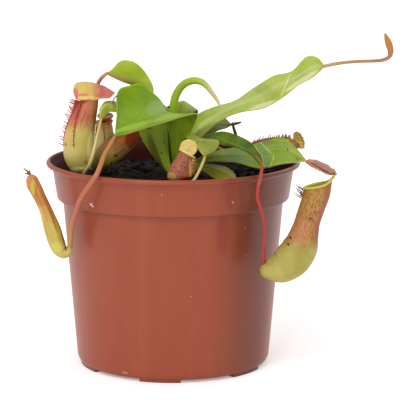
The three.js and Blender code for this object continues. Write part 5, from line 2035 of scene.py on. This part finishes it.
FRONT_CUP = CupFinish(
    "pitcher_front_left", srgb(190, 174, 90), srgb(178, 96, 68), srgb(144, 52, 46),
    srgb(216, 184, 92), srgb(226, 190, 100), srgb(176, 158, 74), level=115.5, blur=4.5,
    streaks=0.9, dashes=0.5, dash=srgb(186, 116, 74), side=srgb(150, 60, 40), side_share=0.8,
    ragged=6.0,
    marks=(
        Spot(76, 112, 6, 15, -12, srgb(190, 92, 84), 0.6),
        Spot(88.5, 106, 4.5, 9, -16, srgb(186, 112, 78), 0.5),
        Spot(68, 138, 4.5, 7, -12, srgb(206, 160, 100), 0.6),
        Spot(66, 143.5, 1.6, 2, -12, srgb(90, 60, 30), 0.6),
        Spot(64.5, 131, 1.2, 2.4, -12, srgb(170, 90, 70), 0.6),
        Spot(86, 162, 3, 2, -18, srgb(186, 146, 60), 0.6),
        Spot(88, 172, 6, 1.2, -16, srgb(90, 84, 40), 0.5),
        Spot(95, 112, 1.6, 14, -12, srgb(150, 110, 60), 0.6),
        # The next two spots are painted light, brightening the lower right and the bottom.
        Spot(92, 150, 5, 22, -10, srgb(244, 226, 134), 0.7),
        Spot(80, 170, 12, 6, -12, srgb(250, 244, 176), 0.75),
        Spot(74, 152, 8, 9, -12, srgb(206, 186, 120), 0.35),
    ),
)
STANDING_CUP = CupFinish(
    "pitcher_standing", srgb(250, 236, 164), srgb(250, 186, 120), srgb(222, 134, 78),
    srgb(226, 116, 58), srgb(130, 70, 34), srgb(204, 184, 104), level=110.0, blur=0.7,
    ragged=0.6, marks=(
        Spot(107.5, 123, 1.7, 1.7, 12, srgb(220, 132, 70), 0.85),
        Spot(108.5, 119, 5, 3, 10, srgb(234, 122, 64), 0.6),
        Spot(98, 121, 1.4, 7, 12, srgb(240, 200, 150), 0.7),
    ),
)
LEANING_CUP = CupFinish(
    "pitcher_leaning", srgb(168, 140, 60), srgb(176, 100, 48), srgb(130, 60, 26),
    srgb(160, 88, 40), srgb(66, 44, 22), srgb(150, 128, 54), level=103.5, blur=4.0, blots=0.5,
    glow=srgb(180, 154, 80), marks=(
        Spot(131, 140, 7, 8, 2, srgb(168, 44, 8), 0.85),
        Spot(121, 139, 5, 3.6, 0, srgb(196, 112, 68), 0.6),
        Spot(116, 154.6, 2.2, 1.6, 0, srgb(30, 20, 10), 0.95),
        Spot(111.5, 162.5, 1.2, 1.6, 0, srgb(34, 24, 10), 0.9),
        Spot(123, 149.5, 1.2, 1.2, 0, srgb(44, 30, 14), 0.85),
        Spot(130, 147.5, 1.2, 1.2, 0, srgb(44, 26, 14), 0.85),
        Spot(103.5, 168, 1, 1.2, 0, srgb(60, 44, 18), 0.8),
        Stroke(112, 158, 128, 145, 2.4, 0, srgb(120, 52, 26), 0.5),
    ),
)
SMALL_CUP = CupFinish(
    "pitcher_small_front", srgb(160, 84, 58), srgb(148, 66, 52), srgb(98, 34, 28),
    srgb(240, 210, 130), srgb(224, 194, 108), srgb(150, 84, 48), level=97.5, blur=2.5,
    streaks=0.5, dashes=1.0, dash=srgb(196, 136, 100), glow=srgb(190, 126, 88),
    marks=(
        Spot(185, 178, 6, 3, -38, srgb(196, 84, 20), 0.95),
        Spot(171.5, 175.5, 5, 4.5, -36, srgb(206, 176, 104), 0.45),
        Spot(177, 178.5, 6, 2, -38, srgb(196, 160, 90), 0.5),
        Stroke(190, 158, 190.5, 179, 3, -34, srgb(224, 180, 100), 0.8),
    ),
)
HANGING_CUP = CupFinish(
    "pitcher_hanging_right", srgb(160, 148, 68), srgb(166, 130, 64), srgb(140, 84, 50),
    srgb(196, 190, 78), srgb(190, 180, 84), srgb(158, 144, 56), level=66.0, blur=5.0,
    streaks=0.3, dashes=1.0, dash=srgb(150, 66, 44), blots=0.3, glow=srgb(188, 180, 104),
    side=srgb(150, 60, 44), side_share=0.75, marks=(
        Spot(300, 232, 14, 15, -50, srgb(188, 126, 88), 0.45),
        Spot(291, 239.5, 1.1, 1.1, -50, srgb(44, 28, 16), 0.9),
        Spot(288.5, 245.3, 1.2, 1.4, -50, srgb(34, 22, 12), 0.95),
        Spot(311, 219.6, 1.8, 1.6, -50, srgb(84, 54, 30), 0.7),
        Spot(314, 222, 1.2, 2.4, -50, srgb(110, 74, 44), 0.6),
        Spot(306.5, 227, 1.2, 1.2, -50, srgb(140, 84, 50), 0.6),
        Spot(284, 261, 13, 16, -48, srgb(184, 178, 98), 0.2),
        Stroke(303, 192, 296, 222, 1.6, -46, srgb(170, 78, 56), 0.6),
        Stroke(291, 228, 272, 252, 2, -46, srgb(176, 112, 64), 0.7),
    ),
)
LYING_CUP = CupFinish(
    "pitcher_lying_right", srgb(140, 112, 48), srgb(160, 140, 56), srgb(120, 70, 32),
    srgb(170, 130, 70), srgb(80, 54, 28), srgb(110, 84, 40), level=98.0, blur=2.0,
)
CLOSED_CUP = CupFinish(
    "pitcher_closed_left", srgb(190, 170, 80), srgb(190, 134, 68), srgb(166, 100, 46),
    srgb(190, 128, 66), srgb(196, 130, 78), srgb(176, 146, 60), level=76.0, blur=9.0,
    streaks=0.35, marks=(
        Spot(33.2, 187, 5.4, 12, -26, srgb(186, 112, 56), 0.7),
        Spot(33.4, 186.5, 3.2, 8.6, -26, srgb(186, 170, 60), 0.95),
        Stroke(34, 181, 37.5, 196, 1.2, -26, srgb(110, 76, 34), 0.75),
        Stroke(40.5, 180, 58, 230, 3.6, -26, srgb(186, 118, 44), 0.75),
        Stroke(38, 200, 52, 243, 3, -28, srgb(206, 170, 88), 0.6),
        Stroke(43.5, 218, 50.5, 241, 1.2, -29, srgb(106, 76, 34), 0.6),
        Stroke(38, 204, 45.5, 236, 2.4, -28, srgb(190, 176, 80), 0.7),
        Stroke(61, 233, 66, 248, 2, -30, srgb(166, 100, 44), 0.7),
        Spot(66, 249, 1.2, 2.2, -32, srgb(112, 62, 30), 0.8),
        Spot(57, 246, 6, 6, -31, srgb(196, 190, 92), 0.7),
    ),
)
RED_FRINGE = BristleFinish("fringe_red", srgb(190, 88, 76), srgb(156, 50, 42))
BROWN_FRINGE = BristleFinish("fringe_brown", srgb(160, 96, 56), srgb(110, 56, 38))
YELLOW_FRINGE = BristleFinish("fringe_yellow", srgb(206, 162, 84), srgb(150, 96, 46))
PLAIN_FRINGE = BristleFinish("fringe_plain", srgb(176, 132, 72), srgb(160, 106, 62))
OLIVE_FRINGE = BristleFinish("fringe_olive", srgb(170, 140, 76), srgb(140, 96, 50))
DARK_FRINGE = BristleFinish("fringe_dark", srgb(140, 96, 56), srgb(70, 44, 34))

# Finishes of the lids

FOLDED_TOP = LidFinish(
    "lid_front_top", srgb(206, 180, 94), srgb(190, 138, 80), srgb(188, 100, 88),
    srgb(206, 166, 100), spots=0.3, end_start=0.58, marks=(
        Spot(75.8, 94, 3.6, 7, -11, srgb(196, 96, 84), 0.9),
        Spot(83, 94.4, 6, 1.6, -13, srgb(200, 108, 90), 0.8),
        Spot(97.5, 91.4, 2.4, 2.4, -13, srgb(214, 140, 78), 0.7),
        Spot(87, 97.4, 9, 1.4, -14, srgb(222, 190, 104), 0.9),
    ),
)
FOLDED_UNDER = LidFinish(
    "lid_front_under", srgb(196, 130, 100), srgb(156, 76, 60), srgb(176, 96, 84),
    srgb(200, 156, 100), spots=0.5, end_start=0.7,
)
LEANING_TOP = LidFinish(
    "lid_hanging_top", srgb(176, 112, 70), srgb(130, 56, 40), srgb(180, 130, 86),
    srgb(124, 50, 36), spots=0.8, end_start=0.7, marks=(
        Stroke(306, 163, 331, 177, 6, -43, srgb(198, 160, 104), 0.8),
        Stroke(308, 160.5, 333.5, 174.5, 1.8, -43, srgb(96, 30, 24), 0.9),
        Stroke(318, 166.5, 329, 172.5, 1.4, -43, srgb(60, 24, 20), 0.8),
        Stroke(309, 158, 335, 171, 1.6, -42, srgb(146, 84, 64), 0.7),
        Spot(334.5, 173.5, 2.2, 2, -42, srgb(84, 34, 28), 0.8),
    ),
)
LEANING_UNDER = LidFinish(
    "lid_hanging_under", srgb(188, 150, 96), srgb(156, 66, 50), srgb(180, 142, 92),
    srgb(140, 76, 54), spots=0.8,
)
BROWN_TOP = LidFinish(
    "lid_brown_top", srgb(206, 106, 54), srgb(150, 70, 32), srgb(180, 96, 48), srgb(170, 90, 44)
)
BROWN_UNDER = LidFinish(
    "lid_brown_under", srgb(170, 110, 56), srgb(124, 66, 34), srgb(144, 86, 44), srgb(144, 86, 44)
)
YELLOW_TOP = LidFinish(
    "lid_yellow_top", srgb(250, 226, 146), srgb(222, 170, 96), srgb(250, 224, 140),
    srgb(228, 196, 106), spots=0.2, ribs=0.08,
)
GREEN_TOP = LidFinish(
    "lid_green_top", srgb(222, 200, 104), srgb(170, 130, 66), srgb(196, 168, 78),
    srgb(150, 120, 54), spots=0.35, end_start=0.45, marks=(
        Spot(296.5, 145.5, 5, 3, 12, srgb(186, 116, 56), 0.8),
        Stroke(304, 134, 304.5, 148, 1.6, 12, srgb(132, 110, 44), 0.8),
    ),
)


def leaves() -> list[Leaf]:
    """Every leaf of the rosette."""
    return [
        Leaf("leaf_front_left", Slot.GREEN, LEAF_FRONT_LEFT, FRONT_TOP, FRONT_TOP,
             turned=True, rows=72, columns=24, seed=2),
        Leaf("leaf_top_left", Slot.PALE, LEAF_TOP_LEFT, FRONT_TOP, LEFT_UNDER,
             turned=True, rows=66, seed=3),
        Leaf("leaf_small_left", Slot.GREEN, LEAF_SMALL_LEFT, SMALL_TOP, SMALL_TOP,
             turned=True, seed=4),
        Leaf("leaf_long_right", Slot.PALE, LEAF_LONG_RIGHT, LONG_TOP, UNDER_GREEN,
             rows=78, columns=22, seed=5),
        Leaf("leaf_grey_right", Slot.DARK, LEAF_GREY_RIGHT, GREY_TOP, UNDER_GREEN, seed=6),
        Leaf("leaf_arching_right", Slot.GREEN, LEAF_ARCHING_RIGHT, ARCH_TOP, ARCH_TOP, seed=7),
        Leaf("leaf_low_right", Slot.GREEN, LEAF_LOW_RIGHT, LOW_TOP, UNDER_GREEN,
             rows=66, columns=22, seed=8),
        Leaf("leaf_small_front", Slot.PALE, LEAF_SMALL_FRONT, FRONT_SMALL_TOP,
             FRONT_SMALL_TOP, turned=True, seed=9),
        Leaf("leaf_on_peat", Slot.GREEN, LEAF_ON_PEAT, PEAT_LEAF_TOP, PEAT_LEAF_TOP, seed=10),
        Leaf("leaf_back_right", Slot.DARK, LEAF_BACK_RIGHT, BACK_TOP, UNDER_GREEN,
             turned=True, seed=11),
        Leaf("leaf_back_left", Slot.DARK, LEAF_BACK_LEFT, BACK_TOP, UNDER_GREEN,
             turned=True, seed=12),
    ]


def stalks() -> list[Stalk]:
    """Every tendril."""
    return [
        Stalk("tendril_left", Slot.TAN, (TENDRIL_LEFT,), TAN, rings=96),
        Stalk("tendril_top_left", Slot.RED, (TENDRIL_TOP_LEFT,), TOP_RED),
        Stalk("tendril_small_left", Slot.YELLOW, (TENDRIL_SMALL_LEFT,), YELLOW),
        Stalk("tendril_bud_right", Slot.TAN, (TENDRIL_BUD_RIGHT,), BUD, rings=96,
              reach_on=0),
        Stalk("tendril_arching", Slot.RED, (TENDRIL_ARCHING,), RED, rings=84),
        Stalk("tendril_small_front", Slot.YELLOW, (TENDRIL_SMALL_FRONT,), YELLOW),
        Stalk("tendril_back_left", Slot.TAN, (TENDRIL_BACK_LEFT,), BACK_TAN),
        Stalk("tendril_back_right", Slot.TAN, (TENDRIL_BACK_RIGHT,), BACK_TAN),
        Stalk("tendril_dry", Slot.BROWN_CUP, (*DRY_TENDRILS, DARK_THREAD), DRY, rings=30, sides=12,
              reach_on=0),
    ]


def cups() -> list[Cup]:
    """Every pitcher."""
    return [
        Cup("pitcher_front_left", Slot.RED_CUP, PITCHER_FRONT_LEFT, (-1, 0.1, 0), FRONT_CUP,
            RED_FRINGE,
            (Wing(4, 0.42, 0.95, 2.5, 10, 2.4, thick=1.8, swell=(0.1, 0.2, 0.32, 0.5, 0.8, 0.9)),
             Wing(80, 0.42, 0.95, 0.9, 8, 1.8, 1.4, twist=-33)),
            slant=0.6, lip=0.8, deep=1.05, peak=0.6, seed=21),
        Cup("pitcher_standing", Slot.BROWN_CUP, PITCHER_STANDING, (-0.5, -1, 0), STANDING_CUP,
            OLIVE_FRINGE, (Wing(-28, 0.5, 0.95, 0.7, 4, 1.4), Wing(28, 0.5, 0.95, 0.7, 4, 1.4)),
            slant=0.5, lip=0.7, deep=1.05, seed=22),
        Cup("pitcher_leaning", Slot.BROWN_CUP, PITCHER_LEANING, (0.4, -1, 0.2), LEANING_CUP,
            OLIVE_FRINGE, (Wing(-50, 0.5, 0.95, 0.7, 4, 1.4), Wing(-95, 0.5, 0.95, 0.7, 4, 1.4)),
            slant=0.4, lip=0.7, seed=23),
        Cup("pitcher_small_front", Slot.RED_CUP, PITCHER_SMALL_FRONT, (1, -0.5, 0), SMALL_CUP,
            YELLOW_FRINGE, (Wing(-6, 0.4, 0.95, 0.8, 7, 2.6, 1.5), Wing(36, 0.4, 0.95, 0.8, 6, 2.4, 1.5)),
            slant=0.5, lip=0.7, seed=24),
        Cup("pitcher_hanging_right", Slot.YELLOW_CUP, PITCHER_HANGING_RIGHT, (-1, 0.2, 0),
            HANGING_CUP, DARK_FRINGE,
            (Wing(14, 0.52, 0.9, 0.5, 0, 0), Wing(62, 0.52, 0.96, 0.2, 0, 0),
             Wing(14, 0.88, 1, 0.6, 5, 4.2, 1.6)),
            slant=2.6, lip=0.9, peak=2.5, seed=25),
        Cup("pitcher_lying_right", Slot.BROWN_CUP, PITCHER_LYING_RIGHT, (-0.3, -0.1, 1),
            LYING_CUP, BROWN_FRINGE,
            (Wing(-22, 0.2, 0.95, 0.7, 9, 2.0, 1.6), Wing(22, 0.2, 0.95, 0.7, 9, 2.0, 1.6)),
            slant=0.3, lip=0.6, seed=26),
        ClosedPitcher("pitcher_closed_left", Slot.YELLOW_CUP, PITCHER_CLOSED_LEFT, (0, -1, 0),
                      CLOSED_CUP, BROWN_FRINGE, (), slant=0, lip=0, threads=SPUR_THREADS),
    ]


def lids() -> list[Lid]:
    """Every open lid."""
    return [
        Lid("lid_front_left", Slot.RED_CUP, FOLDED_LID, FOLDED_LID_NECK,
            FOLDED_TOP, FOLDED_UNDER),
        Lid("lid_hanging_right", Slot.RED_CUP, LEANING_LID, LEANING_LID_NECK,
            LEANING_TOP, LEANING_UNDER, teeth=30, fringe=BROWN_FRINGE),
        Lid("lid_standing", Slot.BROWN_CUP,
            oval_stations((-32.4, 13.8, 116), (0, 4.4, 0.9), (3.8, 0, 0), 0.8),
            ((-32.8, 18, 114.4, 0.9), (-32.8, 18.5, 115.4, 0.8), (-32.6, 17.7, 116.8, 0.6)),
            BROWN_UNDER, BROWN_TOP),
        Lid("lid_leaning", Slot.BROWN_CUP,
            oval_stations((-13.5, 13.5, 109.8), (2.6, -2.9, 0), (1, 0.8, -3.2), 0.6),
            ((-18.1, 16.9, 109.2, 0.6), (-17, 16.9, 109.6, 0.7), (-15.5, 15.7, 109.8, 0.6)),
            BROWN_UNDER, BROWN_TOP),
        Lid("lid_small_front", Slot.YELLOW_CUP,
            oval_stations((7, -27.4, 106.8), (0, -0.8, 4), (4, 0, 0), 0.5),
            ((6.8, -27.3, 106.2, 0.5), (6.9, -27.2, 106.8, 0.5), (7, -27.2, 107.4, 0.4)),
            YELLOW_TOP, YELLOW_TOP),
        Lid("lid_lying_right", Slot.BROWN_CUP,
            oval_stations((60.1, 13, 104.2), (-1.1, 0.4, 4.2), (2.2, -1.8, 0), 0.5),
            ((55.6, 13.4, 104.5, 1.2), (57.1, 13.3, 103.1, 1.7), (58.8, 13.2, 101.4, 1.7),
             (60.2, 13.1, 100.7, 0.8)),
            GREEN_TOP, BROWN_UNDER, teeth=14, fringe=BROWN_FRINGE),
    ]


# Studio


@dataclass
class Studio:
    """Camera, soft light and a pale floor."""

    distance: float = 0.974
    height: float = 0.256
    pitch_down: float = 10.6
    lens: float = 180.65
    shift: float = 0.0837
    sky: float = 0.75

    def camera(self) -> None:
        """Sets the camera at the photograph's angle."""
        data = bpy.data.cameras.new("camera")
        data.lens = self.lens
        data.sensor_width = 36.0
        data.shift_x = self.shift
        camera = bpy.data.objects.new("camera", data)
        camera.location = (0.0, -self.distance, self.height)
        camera.rotation_euler = (math.radians(90 - self.pitch_down), 0.0, 0.0)
        bpy.context.collection.objects.link(camera)
        bpy.context.scene.camera = camera

    def lamp(self, name: str, place: Point, size: float, power: float) -> None:
        """A soft square lamp that looks at the plant."""
        data = bpy.data.lights.new(name, "AREA")
        data.size = size
        data.energy = power
        lamp = bpy.data.objects.new(name, data)
        lamp.location = place
        aim = Vector((0, 0, 0.08)) - Vector(place)
        lamp.rotation_euler = aim.to_track_quat("-Z", "Y").to_euler()
        bpy.context.collection.objects.link(lamp)

    def build(self) -> None:
        """Makes the studio."""
        self.camera()
        world = bpy.data.worlds.new("sky")
        world.use_nodes = True
        sky = world.node_tree.nodes["Background"]
        sky.inputs["Color"].default_value = (1, 1, 1, 1)
        sky.inputs["Strength"].default_value = self.sky
        bpy.context.scene.world = world
        self.lamp("key", (-0.5, -1.15, 1.25), 0.8, 12.5)
        self.lamp("rear", (0.7, 1.1, 0.8), 0.9, 4.0)
        bpy.ops.object.select_all(action="DESELECT")
        bpy.ops.mesh.primitive_plane_add(size=8.0)
        floor = bpy.context.active_object
        floor.name = "floor"
        dress(floor, material_of(FloorFinish()))
        bpy.context.scene.view_settings.view_transform = "Standard"


def main() -> None:
    """Builds the plant and its studio in order."""
    logging.basicConfig(level=logging.INFO, format="%(message)s")
    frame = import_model()
    Studio().build()
    Pot().build()
    Peat().build()
    Stem().build(frame["nodes"]["stem_with_roots"])
    for part in (*leaves(), *stalks(), RolledLeaf(YOUNG_LEAF, ROLLED), *cups(), *lids()):
        part.build()


if __name__ == "__main__":
    main()
